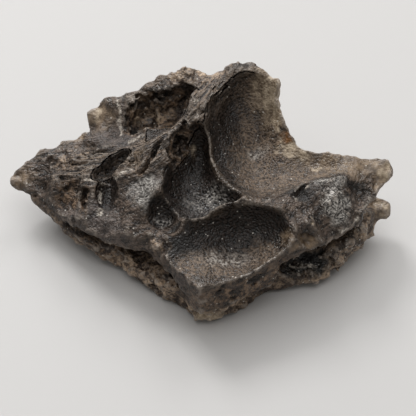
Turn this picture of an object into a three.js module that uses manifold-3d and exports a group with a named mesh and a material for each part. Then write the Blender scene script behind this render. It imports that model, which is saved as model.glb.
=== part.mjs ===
// Darwin glass: a splash of impact melt that froze as one piece of dark, bubbly natural glass.
//
// It is one solid. A thick glassy cap, whose top is a set of ridges left standing between broken
// bubbles, sits on a thinner, frothy base layer. Slots and a cave part the two along the near side.
// On the far side the cap runs out in thin lips over more broken bubbles.
//
// Millimetres. +X runs from the tail's tip to the shelf's tip, +Y to the far side, +Z up. The origin
// is on the flat patch that the stone rests on, below the ridge.

import * as THREE from "three";
import { mergeVertices } from "three/addons/utils/BufferGeometryUtils.js";
import { ImprovedNoise } from "three/addons/math/ImprovedNoise.js";
import Module from "manifold-3d";

const wasm = await Module();
wasm.setup();

// ---------------------------------------------------------------- sizes

const CAP_CELL = 1.7; // spacing of the grid that carries the cap's top and underside
const BASE_CELL = 3.0;
const REACH = { x: 31, y: 21, z: 26 }; // half the grids' spans, and more than the stone's height
const CENTRE_Y = -2.5; // the stone reaches further to the near side than to the far one
const OUTLINE_STEPS = 2; // chords between two marked points of an outline
const WALL_LAYERS = 7; // rings of vertices up an outline's wall
const UNDERCUT = { from: 11, slope: 0.32 }; // the far wall leans in below this height
const CAP_NEARNESS = 3.2; // how sharply a marked height rules its own surroundings
const BASE_NEARNESS = 2.6;
const CRUST = { move: 0.55, wave: 3.4, seed: 5 }; // roughness of the crust: reach and wavelength
const BUBBLE_WAVER = { move: 0.45, wave: 6.0, seed: 40 }; // how far bubble walls stray from true
const GLASS = { colour: 0x2a2724, roughness: 0.38 };

// Heights of the cap's top at marked places, as [x, y, height]. The bubbles are cut from this.
const CAP_TOP = [
  // tail, from its tip along the far edge
  [-29.5, 3.0, 6.6], [-27.8, 6.0, 7.6], [-24.5, 8.8, 8.2], [-21.0, 9.0, 9.8],
  [-18.3, 9.8, 10.5],
  // lobe and far edge
  [-17.7, 12.2, 12.2], [-15.0, 13.6, 14.0], [-11.4, 13.4, 15.2], [-9.0, 13.6, 16.2],
  // crust, notch, peak and fin
  [-6.5, 14.5, 17.6], [-5.2, 11.6, 17.4], [-2.0, 10.6, 18.3], [-2.7, 14.7, 18.8],
  [-0.5, 14.2, 18.1], [4.8, 15.0, 19.7],
  [7.5, 13.9, 19.7], [10.9, 11.0, 19.6], [11.3, 8.0, 17.5],
  // saddle and shelf
  [12.7, 5.5, 14.4], [15.3, 3.3, 12.5], [21.0, 2.9, 12.4], [26.5, 2.2, 12.1],
  [27.4, 0.9, 11.4], [26.2, -1.3, 10.2],
  // the hill before the shelf, down to its edge
  [17.9, -2.6, 13.4], [18.5, -5.5, 13.2], [20.5, -7.5, 11.3], [13.0, -5.0, 13.4],
  [14.7, -9.8, 12.2], [23.4, -4.6, 9.6], [21.5, -7.8, 9.2], [17.8, -10.4, 8.8],
  [14.1, -12.1, 9.2],
  // rims between the bubbles
  [9.6, -9.0, 13.6], [12.1, -11.4, 12.4], [-1.9, -10.7, 13.8], [5.1, -8.2, 14.0],
  [-6.8, -5.0, 14.0], [-4.8, -9.6, 13.2], [7.8, -6.6, 13.4], [10.5, -4.7, 12.7],
  // main ridge, from the peak down to the tail
  [0.0, 8.0, 18.7], [-1.2, 4.7, 18.0], [-5.6, 2.5, 16.2], [-8.5, 0.5, 14.8],
  [-11.5, -0.3, 13.5], [-16.0, 0.7, 11.3], [-22.2, 1.4, 9.0],
  // hollow behind the ridge
  [-11.8, 6.4, 12.6], [-15.0, 8.0, 11.4], [-19.0, 6.0, 9.8],
  // slope from the ridge down to the near edge
  [-22.2, -3.0, 6.2], [-25.8, 0.8, 6.0], [-14.4, -7.0, 9.0], [-16.0, -8.4, 7.2],
  [-10.0, -5.5, 12.3], [-8.4, -10.5, 10.2], [-9.0, -11.3, 8.6],
  // near corner and the lip over the near wall
  [-6.2, -13.7, 9.5], [-3.4, -18.0, 9.8], [-1.4, -19.9, 10.0], [3.5, -18.2, 10.2],
  [8.1, -16.4, 10.6], [10.5, -13.9, 11.2],
];

// Heights of the cap's underside: close to its top along the far side, where the glass is thin.
const CAP_UNDERSIDE = [
  [-16.0, -8.4, 5.8], [-9.0, -11.0, 6.2], [-22.0, -3.0, 4.7], [-26.0, 1.0, 4.9],
  [-29.5, 3.0, 5.6], [-21.0, 9.0, 6.5], [-18.5, 12.4, 10.5], [-15.0, 13.5, 11.0],
  [-11.0, 13.5, 10.0], [-3.0, 14.5, 10.0], [5.0, 15.0, 12.0], [8.0, 14.0, 13.0],
  [11.0, 11.0, 14.0], [11.5, 8.0, 12.5], [13.0, 5.5, 11.3], [21.0, 3.0, 10.8],
  [26.5, 2.2, 10.4], [27.4, 0.9, 9.6], [23.4, -4.6, 8.5], [21.5, -7.8, 8.0],
  [17.8, -10.5, 7.9], [14.0, -12.0, 7.4], [10.5, -14.0, 4.5], [0.0, -20.0, 3.0],
  [-3.5, -18.0, 5.2], [0.0, 0.0, 2.0], [-10.0, 2.0, 2.0], [10.0, -4.0, 4.0],
  [-4.0, -12.0, 3.0], [5.0, -13.0, 3.0], [-5.0, 9.0, 5.0], [4.0, 9.0, 7.0],
  [17.0, -3.0, 7.0], [-20.0, 3.0, 4.0],
];

// Heights of the base layer's top: a low lip along the near side, and up inside the cap elsewhere.
const BASE_TOP = [
  [-24.0, 1.0, 5.0], [-16.0, -7.0, 4.2], [-10.0, -11.0, 3.6], [-5.0, -15.0, 4.0],
  [0.0, -19.0, 5.0], [8.0, -14.0, 5.0], [14.0, -13.0, 3.2], [18.4, -10.2, 6.0],
  [20.8, -8.8, 6.8], [22.8, -6.2, 6.9], [24.0, -3.4, 6.6], [26.4, -1.2, 5.6],
  [25.2, -4.8, 4.4], [23.2, -7.8, 4.0], [20.6, -10.4, 3.6], [17.5, -12.4, 3.2],
  [0.0, 0.0, 9.0], [0.0, 10.0, 9.0], [-12.0, 8.0, 8.0], [12.0, 0.0, 8.0], [20.0, -1.0, 8.0],
];

// Heights of the stone's underside. What would lie below 0 is worn away to the flat resting patch.
const BASE_UNDERSIDE = [
  [-30.0, 2.0, 5.0], [-24.0, 0.0, 3.4], [-18.0, -5.5, 1.8], [-12.0, -8.0, 0.4],
  [-20.0, 5.0, 2.2], [-12.0, 9.0, 1.2], [-6.0, 12.0, 1.0], [4.0, 11.0, 1.0],
  [9.0, 6.0, 0.8], [18.0, -1.0, 1.6], [26.5, -1.0, 3.4], [23.0, -6.0, 2.0],
  [17.0, -11.0, 0.6], [12.0, -12.5, 0.2], [0.0, -19.0, 0.1], [-5.0, -15.0, 0.1],
  [0.0, -14.0, -0.6], [-8.0, 0.0, -0.8], [0.0, 0.0, -1.0], [8.0, -4.0, -0.8],
  [0.0, 6.0, -0.5], [7.0, -9.0, -0.7],
];

// Plan outlines as [x, y], starting at the tail's tip and going round by the far side.
const CAP_OUTLINE = [
  [-29.9, 3.3], [-28.0, 6.3], [-24.8, 9.1], [-21.2, 9.2], [-18.2, 10.0], [-18.5, 12.0],
  [-17.3, 13.3], [-14.8, 14.0], [-11.2, 14.0], [-9.0, 14.4], [-6.8, 15.2], [-2.7, 15.3],
  [-0.5, 14.7], [2.2, 14.9], [4.8, 15.6], [7.8, 14.6], [10.8, 11.6], [10.5, 9.9],
  [11.6, 7.0], [12.8, 5.4], [14.9, 3.6], [21.2, 3.2], [24.5, 3.0], [26.4, 2.7],
  [27.8, 0.8], [25.9, -1.4], [23.4, -4.7], [21.6, -7.8], [17.9, -10.8], [14.2, -12.5],
  [10.9, -14.2], [8.6, -16.2], [3.6, -18.8], [-0.4, -20.4], [-1.6, -20.2], [-3.6, -18.0],
  [-6.6, -14.2], [-9.0, -11.4], [-12.2, -10.2], [-16.2, -8.4], [-21.2, -4.2],
  [-25.5, 0.7],
];

const BASE_OUTLINE = [
  [-26.5, 1.0], [-26.0, 4.5], [-22.0, 6.5], [-17.0, 8.5], [-14.0, 11.5], [-8.0, 13.0],
  [0.0, 12.5], [6.0, 11.5], [8.0, 6.0], [12.0, 1.5], [20.0, 0.0], [25.0, 0.7],
  [27.0, 0.3], [27.6, -1.0], [26.8, -2.3], [25.2, -2.8], [25.2, -4.2], [23.9, -5.6],
  [23.2, -7.2], [21.5, -8.6], [19.4, -10.5], [16.2, -12.6], [12.1, -13.2],
  [8.8, -13.8], [6.2, -16.0], [3.2, -18.5], [0.8, -19.6], [-2.0, -19.3], [-3.6, -16.8],
  [-7.0, -14.8], [-11.5, -11.5], [-14.0, -8.9], [-17.0, -8.0], [-22.3, -3.4],
];

// Broken bubbles, each made of ellipsoids that run into one another: centre, radii, and turns in
// degrees about Z, then about its own Y (tilt) and its own X (roll).
const BUBBLES = {
  left_bowl: [
    { at: [-2.3, -4.6, 14.6], radii: [4.3, 5.7, 5.0], turn: 2 },
    { at: [1.6, -5.6, 14.2], radii: [3.9, 1.9, 3.7], turn: -26 },
    { at: [-1.7, 0.4, 16.2], radii: [2.1, 4.2, 5.4], turn: -8 },
  ],
  bowl_shoulder: [
    { at: [-4.1, 1.4, 16.2], radii: [1.9, 4.0, 3.6], turn: -14 },
    { at: [-2.0, 4.0, 17.0], radii: [0.5, 1.1, 1.4], turn: -30 },
  ],
  right_bowl: [
    { at: [5.8, 3.8, 19.5], radii: [6.3, 9.4, 8.2], turn: -5 },
    { at: [8.4, -0.6, 18.6], radii: [8.4, 8.3, 7.8] },
    { at: [16.0, 0.6, 21.6], radii: [12.0, 5.0, 10.2], turn: -4 },
  ],
  shelf_sweep: [{ at: [22.0, 1.2, 22.6], radii: [11.0, 5.0, 10.6], turn: -4 }],
  trough: [
    { at: [4.0, -12.6, 12.2], radii: [7.4, 4.4, 3.9], turn: 8 },
    { at: [2.6, -17.0, 19.6], radii: [14.0, 7.5, 10.6], turn: 28 },
    { at: [-4.4, -15.4, 18.8], radii: [6.2, 6.2, 9.6], turn: -20 },
  ],
  eye: [{ at: [-6.8, -8.6, 12.6], radii: [2.4, 2.5, 3.2], turn: -25 }],
  eye_mouth: [{ at: [-6.2, -10.0, 12.9], radii: [2.2, 2.2, 3.0], turn: -20 }],
  far_hollow: [
    { at: [-5.4, 10.3, 15.2], radii: [5.0, 2.4, 3.3], turn: 12, tilt: -14 },
    { at: [-9.6, 10.2, 14.2], radii: [3.2, 2.4, 3.8], turn: 26 },
    { at: [-11.4, 9.2, 13.4], radii: [1.6, 2.4, 2.8], turn: -12 },
  ],
  hollow_slope: [{ at: [-8.0, 6.8, 17.6], radii: [5.6, 2.8, 4.3], turn: 32 }],
  almond: [{ at: [-14.3, 1.2, 12.2], radii: [3.6, 1.4, 2.8], turn: 38, tilt: -10 }],
  flute: [{ at: [-15.1, -4.0, 11.2], radii: [1.5, 3.6, 2.3], turn: -8, roll: -26 }],
  small_flute: [{ at: [-18.3, -3.0, 8.9], radii: [0.7, 2.2, 1.5], turn: -14, roll: -20 }],
  tail_pit: [{ at: [-21.1, -1.2, 9.6], radii: [2.3, 1.8, 2.0], turn: 10 }],
  ridge_slit: [
    { at: [-9.3, -0.9, 14.4], radii: [0.5, 1.7, 1.7], turn: -50 },
    { at: [-7.9, 1.2, 15.5], radii: [0.4, 2.0, 1.4], turn: -30 },
  ],
  hill_slit: [{ at: [13.3, -4.8, 13.5], radii: [0.42, 2.1, 1.7], turn: -35 }],
  hill_hollow: [{ at: [13.6, -6.4, 16.8], radii: [2.6, 2.4, 3.9] }],
  hill_cleft: [{ at: [16.3, -9.2, 12.4], radii: [1.3, 2.5, 1.5], roll: 38 }],
  tip_pit: [
    { at: [22.2, -2.8, 12.0], radii: [1.3, 0.8, 1.3], turn: -8 },
    { at: [23.7, -3.0, 11.3], radii: [0.9, 0.8, 1.1], turn: -36 },
  ],
  // slots between the cap and the base, from the tail to the near corner
  tail_slot: [{ at: [-19.2, -6.0, 4.7], radii: [3.2, 1.8, 0.5], turn: -42, tilt: 4 }],
  side_slot: [{ at: [-12.6, -10.8, 5.0], radii: [4.8, 2.6, 1.3], turn: -28, roll: -10 }],
  corner_slot: [{ at: [-6.6, -14.4, 5.4], radii: [4.0, 2.2, 1.2], turn: -50, roll: -6 }],
  froth_cave: [
    { at: [14.7, -13.4, 5.9], radii: [5.1, 3.7, 2.2], turn: 18, tilt: -4, roll: -12 },
    { at: [21.0, -9.0, 7.4], radii: [4.0, 1.8, 0.6], turn: 50, tilt: -4, roll: -6 },
  ],
  // broken bubbles of the far side, below the thin lips
  lobe_bubble: [{ at: [-16.0, 15.2, 6.4], radii: [5.6, 4.6, 4.0], turn: 12 }],
  peak_bubble: [{ at: [-3.2, 17.2, 8.4], radii: [4.2, 3.6, 3.6], tilt: 10 }],
  fin_bubble: [{ at: [13.2, 13.6, 9.4], radii: [6.4, 5.6, 6.4], turn: -30 }],
  shelf_bubble: [{ at: [20.5, 6.6, 5.8], radii: [6.8, 5.6, 4.6], turn: -8 }],
};

// ---------------------------------------------------------------- tools

const perlin = new ImprovedNoise();

/** A smooth drift of the point in space, in three independent directions. */
function drift(point, { move, wave, seed }) {
  const p = point.clone().divideScalar(wave);
  return new THREE.Vector3(
    perlin.noise(p.x + seed, p.y, p.z),
    perlin.noise(p.x, p.y + seed, p.z + 9.7),
    perlin.noise(p.x + 5.3, p.y, p.z + seed),
  ).multiplyScalar(move);
}

/** Moves every vertex by a function of its own place, so that shared vertices stay together. */
function moveVertices(geometry, moved) {
  const position = geometry.getAttribute("position");
  const point = new THREE.Vector3();
  for (let i = 0; i < position.count; i++) {
    point.fromBufferAttribute(position, i);
    position.setXYZ(i, ...moved(point).toArray());
  }
  return geometry;
}

/** A closed geometry as a solid that can be joined and cut. */
function solidOf(geometry) {
  const bare = geometry.clone();
  bare.deleteAttribute("normal");
  bare.deleteAttribute("uv");
  const merged = mergeVertices(bare, 1e-4);
  return new wasm.Manifold(
    new wasm.Mesh({
      numProp: 3,
      vertProperties: merged.getAttribute("position").array,
      triVerts: new Uint32Array(merged.index.array),
    }),
  );
}

/** The height at (x, y): the mean of the marked heights, each weighted by how near it is. */
function heightAt(marks, x, y, nearness) {
  let weights = 0;
  let total = 0;
  for (const [markX, markY, height] of marks) {
    const weight = ((x - markX) ** 2 + (y - markY) ** 2 + 0.25) ** (-nearness / 2);
    weights += weight;
    total += weight * height;
  }
  return total / weights;
}

// ---------------------------------------------------------------- pieces

/** A block on a grid, whose upper and lower faces follow two tables of heights. */
function reliefBlock(top, underside, nearness, cell) {
  const columns = Math.round((2 * REACH.x) / cell);
  const rows = Math.round((2 * REACH.y) / cell);
  const block = new THREE.BoxGeometry(2 * REACH.x, 2 * REACH.y, 2, columns, rows, 1);
  block.translate(-1, CENTRE_Y, 0);
  moveVertices(block, ({ x, y, z }) => {
    const height = heightAt(z > 0 ? top : underside, x, y, nearness);
    const point = new THREE.Vector3(x, y, height);
    const rough = drift(point, CRUST).z;
    return point.setZ(height + rough);
  });
  return solidOf(block);
}

/** A wall that stands on a smooth closed outline, wavers up its height and leans in at the back. */
function outlineWall(outline) {
  const marks = outline.map(([x, y]) => new THREE.Vector3(x, y, 0));
  const curve = new THREE.CatmullRomCurve3(marks, true, "catmullrom", 0.5);
  const points = curve.getPoints(outline.length * OUTLINE_STEPS).slice(0, -1);
  const shape = new THREE.Shape(points.map(({ x, y }) => new THREE.Vector2(x, y)).reverse());
  const options = { depth: REACH.z, steps: WALL_LAYERS, bevelEnabled: false };
  const wall = new THREE.ExtrudeGeometry(shape, options).translate(0, 0, -2);
  moveVertices(wall, (point) => {
    const { x, y } = drift(point, CRUST);
    const farSide = THREE.MathUtils.smoothstep(point.y, 0, 12);
    const undercut = farSide * UNDERCUT.slope * Math.max(0, UNDERCUT.from - point.z);
    return point.add(new THREE.Vector3(x, y - undercut, 0));
  });
  return solidOf(wall);
}

/** The space of one broken bubble. */
function bubble(ellipsoids) {
  const spaces = ellipsoids.map(({ at, radii, turn = 0, tilt = 0, roll = 0 }) => {
    const detail = Math.max(1, Math.min(5, Math.round(Math.sqrt(Math.max(...radii)) * 1.4)));
    const turns = [roll, tilt, turn].map(THREE.MathUtils.degToRad);
    const place = new THREE.Matrix4().compose(
      new THREE.Vector3(...at),
      new THREE.Quaternion().setFromEuler(new THREE.Euler(...turns, "ZYX")),
      new THREE.Vector3(...radii),
    );
    const space = new THREE.IcosahedronGeometry(1, detail).applyMatrix4(place);
    moveVertices(space, (point) => point.add(drift(point, BUBBLE_WAVER)));
    return solidOf(space);
  });
  return spaces.reduce((joined, space) => joined.add(space));
}

/** Everything below the resting plane. */
function groundBlock() {
  const depth = 10;
  const ground = new THREE.BoxGeometry(4 * REACH.x, 4 * REACH.y, depth);
  return solidOf(ground.translate(0, 0, -depth / 2));
}

/** The largest of the bodies that a cut leaves. */
function largestBody(solid) {
  return solid.decompose().reduce((a, b) => (a.volume() > b.volume() ? a : b));
}

/** A solid as a three.js geometry. */
function geometryOf(solid) {
  const { vertProperties, triVerts } = solid.getMesh();
  const geometry = new THREE.BufferGeometry();
  geometry.setAttribute("position", new THREE.BufferAttribute(vertProperties, 3));
  geometry.setIndex(new THREE.BufferAttribute(triVerts, 1));
  geometry.computeVertexNormals();
  return geometry;
}

// ---------------------------------------------------------------- stone

const capRelief = reliefBlock(CAP_TOP, CAP_UNDERSIDE, CAP_NEARNESS, CAP_CELL);
const baseRelief = reliefBlock(BASE_TOP, BASE_UNDERSIDE, BASE_NEARNESS, BASE_CELL);
const cap = capRelief.intersect(outlineWall(CAP_OUTLINE));
const base = baseRelief.intersect(outlineWall(BASE_OUTLINE));

let stone = cap.add(base);
for (const ellipsoids of Object.values(BUBBLES)) {
  stone = stone.subtract(bubble(ellipsoids));
}
stone = largestBody(stone.subtract(groundBlock()));

const glass = new THREE.MeshStandardMaterial({
  color: GLASS.colour,
  roughness: GLASS.roughness,
  metalness: 0,
});
const mesh = new THREE.Mesh(geometryOf(stone), glass);
mesh.name = "glass_stone";

const darwinGlass = new THREE.Group();
darwinGlass.name = "darwin_glass";
darwinGlass.add(mesh);

export default darwinGlass;
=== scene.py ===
"""Darwin glass: one piece of dark, bubbly impact glass, on a pale floor under soft light."""

import logging
import math
from collections.abc import Callable, Sequence
from concurrent.futures import ThreadPoolExecutor
from dataclasses import dataclass, field
from enum import Enum
from itertools import product

import bpy
import numpy as np
import openvdb
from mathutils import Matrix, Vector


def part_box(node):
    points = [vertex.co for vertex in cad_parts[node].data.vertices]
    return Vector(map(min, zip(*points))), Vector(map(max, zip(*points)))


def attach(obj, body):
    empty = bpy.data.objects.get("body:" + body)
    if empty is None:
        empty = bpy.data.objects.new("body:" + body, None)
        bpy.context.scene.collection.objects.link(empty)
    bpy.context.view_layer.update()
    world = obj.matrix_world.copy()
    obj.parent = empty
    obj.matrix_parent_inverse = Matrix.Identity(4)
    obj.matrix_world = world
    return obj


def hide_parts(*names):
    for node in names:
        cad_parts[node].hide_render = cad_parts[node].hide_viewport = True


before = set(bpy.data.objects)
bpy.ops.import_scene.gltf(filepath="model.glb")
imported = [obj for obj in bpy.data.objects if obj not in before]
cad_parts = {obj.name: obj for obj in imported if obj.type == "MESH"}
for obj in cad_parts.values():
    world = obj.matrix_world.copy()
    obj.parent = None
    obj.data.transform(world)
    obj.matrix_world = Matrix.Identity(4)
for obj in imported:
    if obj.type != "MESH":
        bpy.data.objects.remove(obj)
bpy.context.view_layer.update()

LOG = logging.getLogger("darwin_glass")
MM = 0.001
STONE_NODE = "glass_stone"
Array = np.ndarray
Point = tuple[float, float, float]
Faces = list[list[int]]
Socket = bpy.types.NodeSocket

# grid steps, in millimetres
FINE_STEP = 0.27
# a distance beyond every wall, in millimetres
FAR = 9.0
# room kept between the stone and its box, in millimetres
CLEARANCE = 0.03
# points on each vesicle's ball
BALL_POINTS = 42
CHUNKS = 8
THREADS = 4


# ---------------------------------------------------------------- numbers


def smoothstep(value: Array | float, low: float, high: float) -> Array:
    """Returns 0 up to low, 1 from high on, and a smooth rise between them."""
    t = np.clip((np.asarray(value) - low) / (high - low), 0.0, 1.0)
    return t * t * (3.0 - 2.0 * t)


def blend_min(a: Array, b: Array, reach: float) -> Array:
    """Joins two distance fields, with a fillet of about the given reach."""
    h = np.clip(0.5 + 0.5 * (b - a) / reach, 0.0, 1.0)
    return b + (a - b) * h - reach * h * (1.0 - h)


def blend_max(a: Array, b: Array, reach: float) -> Array:
    """Keeps what two distance fields share, with a rounded edge of about the given reach."""
    return -blend_min(-a, -b, reach)


def in_chunks(work: Callable[[Array], Array], points: Array) -> Array:
    """Runs a function over the parts of a list of points, on several threads.

    Args:
        work: Takes points of shape (n, 3), and gives one value for each.
        points: The whole list.

    Returns:
        One value for each point, in order.
    """
    parts = np.array_split(np.ascontiguousarray(points, np.float32), CHUNKS)
    with ThreadPoolExecutor(THREADS) as pool:
        return np.concatenate(list(pool.map(work, parts)))


def edges_of(faces: Faces) -> Array:
    """The two ends of every side of every face, of shape (n, 2)."""
    return np.array([(f[k - 1], f[k]) for f in faces for k in range(len(f))])


def put(name: str, data: bpy.types.ID) -> bpy.types.Object:
    """Puts a new object into the scene.

    Args:
        name: Its name.
        data: Its mesh, lamp or camera.

    Returns:
        The object, at the origin.
    """
    item = bpy.data.objects.new(name, data)
    bpy.context.scene.collection.objects.link(item)
    return item


class Noise:
    """Gradient noise that repeats only far outside the stone."""

    PERIOD = 64

    def __init__(self, seed: int) -> None:
        """Draws the slopes at the lattice points.

        Args:
            seed: Fixes the pattern.
        """
        slopes = np.random.default_rng(seed).normal(size=(self.PERIOD**3, 3))
        slopes /= np.linalg.norm(slopes, axis=1, keepdims=True)
        self._slopes = slopes.astype(np.float32)

    def _slope(self, cell: Array) -> Array:
        """The slope at each lattice point."""
        at = cell & (self.PERIOD - 1)
        return self._slopes[(at[:, 0] * self.PERIOD + at[:, 1]) * self.PERIOD + at[:, 2]]

    def _layer(self, points: Array) -> Array:
        """One octave of the noise.

        Args:
            points: Places in wavelengths, of shape (n, 3).

        Returns:
            One value for each point, about -1 to 1.
        """
        cell = np.floor(points)
        part = (points - cell).astype(np.float32)
        index = cell.astype(np.int32)
        ease = part * part * part * (part * (part * 6.0 - 15.0) + 10.0)
        total = np.zeros(len(points), np.float32)
        for corner in product((0, 1), repeat=3):
            slope = self._slope(index + corner)
            dot = ((part - np.float32(corner)) * slope).sum(1)
            weight = np.prod(np.where(corner, ease, 1.0 - ease), axis=1)
            total += weight * dot
        return total * 1.6

    def lumps(self, points: Array, wave: float) -> Array:
        """Packed round lumps: 1 in the middle of each, and 0 or less in the creases between.

        Args:
            points: Places in millimetres, of shape (n, 3).
            wave: Mean distance between lumps, in millimetres.

        Returns:
            One value for each point.
        """

        def chunk(part: Array) -> Array:
            """Lumps at some of the points.

            Args:
                part: Their places.

            Returns:
                One value for each.
            """
            place = part / np.float32(wave)
            cell = np.floor(place).astype(np.int32)
            nearest = np.full(len(part), FAR, np.float32)
            for step in product((-1, 0, 1), repeat=3):
                near = cell + step
                gap = near + 0.5 + 0.42 * self._slope(near) - place
                nearest = np.minimum(nearest, (gap * gap).sum(1))
            return 1.0 - 2.2 * nearest

        return in_chunks(chunk, points)

    def at(
        self, points: Array, waves: Sequence[float], octaves: int = 1, ridged: bool = False
    ) -> Array:
        """Sums octaves of noise.

        Args:
            points: Places in millimetres, of shape (n, 3).
            waves: Wavelength along each axis, in millimetres.
            octaves: How many layers, each twice as fine and half as strong as the last.
            ridged: Whether to fold the noise into sharp crests with round valleys between.

        Returns:
            One value for each point.
        """

        def chunk(part: Array) -> Array:
            """Summed octaves at some of the points.

            Args:
                part: Their places.

            Returns:
                One value for each.
            """
            scaled = part / np.asarray(waves, np.float32)
            total = np.zeros(len(part), np.float32)
            strength = 1.0
            for octave in range(octaves):
                layer = self._layer(scaled * 2.03**octave + 7.3 * octave)
                total += strength * (0.6 - 2.0 * np.abs(layer) if ridged else layer)
                strength *= 0.5
            return total

        return in_chunks(chunk, points)


@dataclass(frozen=True)
class Grid:
    """A regular grid of sample places that spans the stone, in millimetres.

    Args:
        step: Distance between neighbouring samples.
        low: Lowest corner.
        high: Highest corner.
    """

    step: float
    low: Point = (-31.4, -22.0, -1.2)
    high: Point = (28.6, 17.4, 22.0)

    def axis(self, k: int) -> Array:
        """Sample places along one axis."""
        count = int(math.ceil((self.high[k] - self.low[k]) / self.step)) + 1
        return (self.low[k] + self.step * np.arange(count)).astype(np.float32)

    def block(self, low: Point, high: Point) -> tuple[slice, slice, slice]:
        """The part of the grid that holds a box.

        Args:
            low: The box's lowest corner.
            high: The box's highest corner.

        Returns:
            A slice along each axis.
        """
        spans = []
        for k in range(3):
            count = len(self.axis(k))
            first = int(np.clip((low[k] - self.low[k]) // self.step, 0, count))
            last = int(np.clip((high[k] - self.low[k]) // self.step + 2, 0, count))
            spans.append(slice(first, last))
        return tuple(spans)

    def points(self, where: Array, block: tuple[slice, slice, slice]) -> Array:
        """The places of a block's chosen samples, as (n, 3)."""
        index = np.nonzero(where)
        return np.stack([self.axis(k)[block[k]][index[k]] for k in range(3)], axis=1)

    def sample(self, values: Array, points: Array) -> Array:
        """Reads a field between its samples.

        Args:
            values: The field, on this grid.
            points: Places in millimetres, of shape (n, 3).

        Returns:
            The trilinear mean at each place.
        """
        place = (points - np.float32(self.low)) / self.step
        place = np.clip(place, 0, np.array(values.shape) - 1.001)
        cell = np.floor(place).astype(np.int32)
        part = place - cell
        total = np.zeros(len(points), np.float32)
        for corner in product((0, 1), repeat=3):
            weight = np.prod(np.where(corner, part, 1.0 - part), axis=1)
            at = cell + corner
            total += weight * values[at[:, 0], at[:, 1], at[:, 2]]
        return total

    def blur(self, values: Array, reach: float) -> Array:
        """Softens a field with two passes of a box along each axis.

        Args:
            values: The field, on this grid.
            reach: The box's half width, in millimetres.

        Returns:
            The softened field.
        """
        half = max(1, round(reach / self.step))
        for axis in (0, 1, 2) * 2:
            pad = [(half + 1, half) if k == axis else (0, 0) for k in range(3)]
            run = np.cumsum(np.pad(values, pad, mode="edge"), axis=axis, dtype=np.float64)
            far = np.take(run, range(2 * half + 1, run.shape[axis]), axis=axis)
            near = np.take(run, range(0, run.shape[axis] - 2 * half - 1), axis=axis)
            values = ((far - near) / (2 * half + 1)).astype(np.float32)
        return values


# ---------------------------------------------------------------- forms


@dataclass(frozen=True)
class Relief:
    """A surface that passes near marked heights.

    Args:
        marks: Marked places as (x, y, height), in millimetres.
        nearness: How sharply a mark rules its own surroundings.
    """

    marks: tuple[Point, ...]
    nearness: float = 2.6

    def height(self, x: Array, y: Array) -> Array:
        """Heights over a grid of columns.

        Args:
            x: Places of the columns along X.
            y: Places of the columns along Y.

        Returns:
            The height at each column.
        """
        weights = np.zeros(x.shape)
        total = np.zeros(x.shape)
        for mark_x, mark_y, height in self.marks:
            gap = (x - mark_x) ** 2 + (y - mark_y) ** 2 + 0.25
            weight = gap ** (-self.nearness / 2)
            weights += weight
            total += weight * height
        return (total / weights).astype(np.float32)


@dataclass(frozen=True)
class Outline:
    """A smooth closed outline in plan.

    Args:
        marks: Points that it passes through, in order, in millimetres.
    """

    marks: tuple[tuple[float, float], ...]

    def path(self, steps: int = 6) -> Array:
        """Points along the closed Catmull-Rom curve through the marks.

        Args:
            steps: How many points each stretch gets.

        Returns:
            Points of shape (n, 2).
        """
        p1 = np.array(self.marks)
        p0, p2, p3 = np.roll(p1, 1, 0), np.roll(p1, -1, 0), np.roll(p1, -2, 0)
        t = (np.arange(steps) / steps)[None, :, None]
        p0, p1, p2, p3 = (p[:, None, :] for p in (p0, p1, p2, p3))
        curve = 2 * p1 + (p2 - p0) * t + (2 * p0 - 5 * p1 + 4 * p2 - p3) * t**2
        curve = curve + (3 * p1 - p0 - 3 * p2 + p3) * t**3
        return (0.5 * curve).reshape(-1, 2)

    def distance(self, x: Array, y: Array) -> Array:
        """Distance to the outline over a grid of columns.

        Args:
            x: Places of the columns along X.
            y: Places of the columns along Y.

        Returns:
            The distance at each column, negative inside.
        """
        path = self.path()
        nearest = np.full(x.shape, 1e9)
        inside = np.zeros(x.shape, bool)
        for (ax, ay), (bx, by) in zip(path, np.roll(path, -1, 0)):
            ex, ey = bx - ax, by - ay
            t = ((x - ax) * ex + (y - ay) * ey) / (ex * ex + ey * ey)
            t = np.clip(t, 0.0, 1.0)
            nearest = np.minimum(nearest, (x - ax - ex * t) ** 2 + (y - ay - ey * t) ** 2)
            spans = (ay <= y) != (by <= y)
            if ey:
                inside ^= spans & (x < ax + ex * (y - ay) / ey)
        return (np.where(inside, -1.0, 1.0) * np.sqrt(nearest)).astype(np.float32)


@dataclass(frozen=True)
class Ellipsoid:
    """One round space, in millimetres and degrees.

    Args:
        at: Centre.
        radii: Radii along its own axes.
        turn: Turn about the upright axis.
        tilt: Turn about its own second axis.
        roll: Turn about its own first axis.
    """

    at: Point
    radii: Point
    turn: float = 0.0
    tilt: float = 0.0
    roll: float = 0.0

    def axes(self) -> Array:
        """Works out its own axes.

        Returns:
            A matrix whose columns are the axes.
        """
        a, b, c = (math.radians(d) for d in (self.turn, self.tilt, self.roll))
        about_z = np.array([[math.cos(a), -math.sin(a), 0], [math.sin(a), math.cos(a), 0], [0, 0, 1]])
        about_y = np.array([[math.cos(b), 0, math.sin(b)], [0, 1, 0], [-math.sin(b), 0, math.cos(b)]])
        about_x = np.array([[1, 0, 0], [0, math.cos(c), -math.sin(c)], [0, math.sin(c), math.cos(c)]])
        return (about_z @ about_y @ about_x).astype(np.float32)

    def distance(self, points: Array) -> Array:
        """Distance from its surface, about, and negative inside.

        Args:
            points: Places in millimetres, of shape (n, 3).

        Returns:
            The distance, about, at each point.
        """
        own = (points - np.float32(self.at)) @ self.axes()
        radii = np.float32(self.radii)
        near = np.sqrt(((own / radii) ** 2).sum(-1)) + 1e-6
        slope = np.sqrt(((own / radii**2) ** 2).sum(-1)) + 1e-6
        return near * (near - 1.0) / slope

    def reach(self) -> float:
        """Its largest radius."""
        return max(self.radii)


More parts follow.
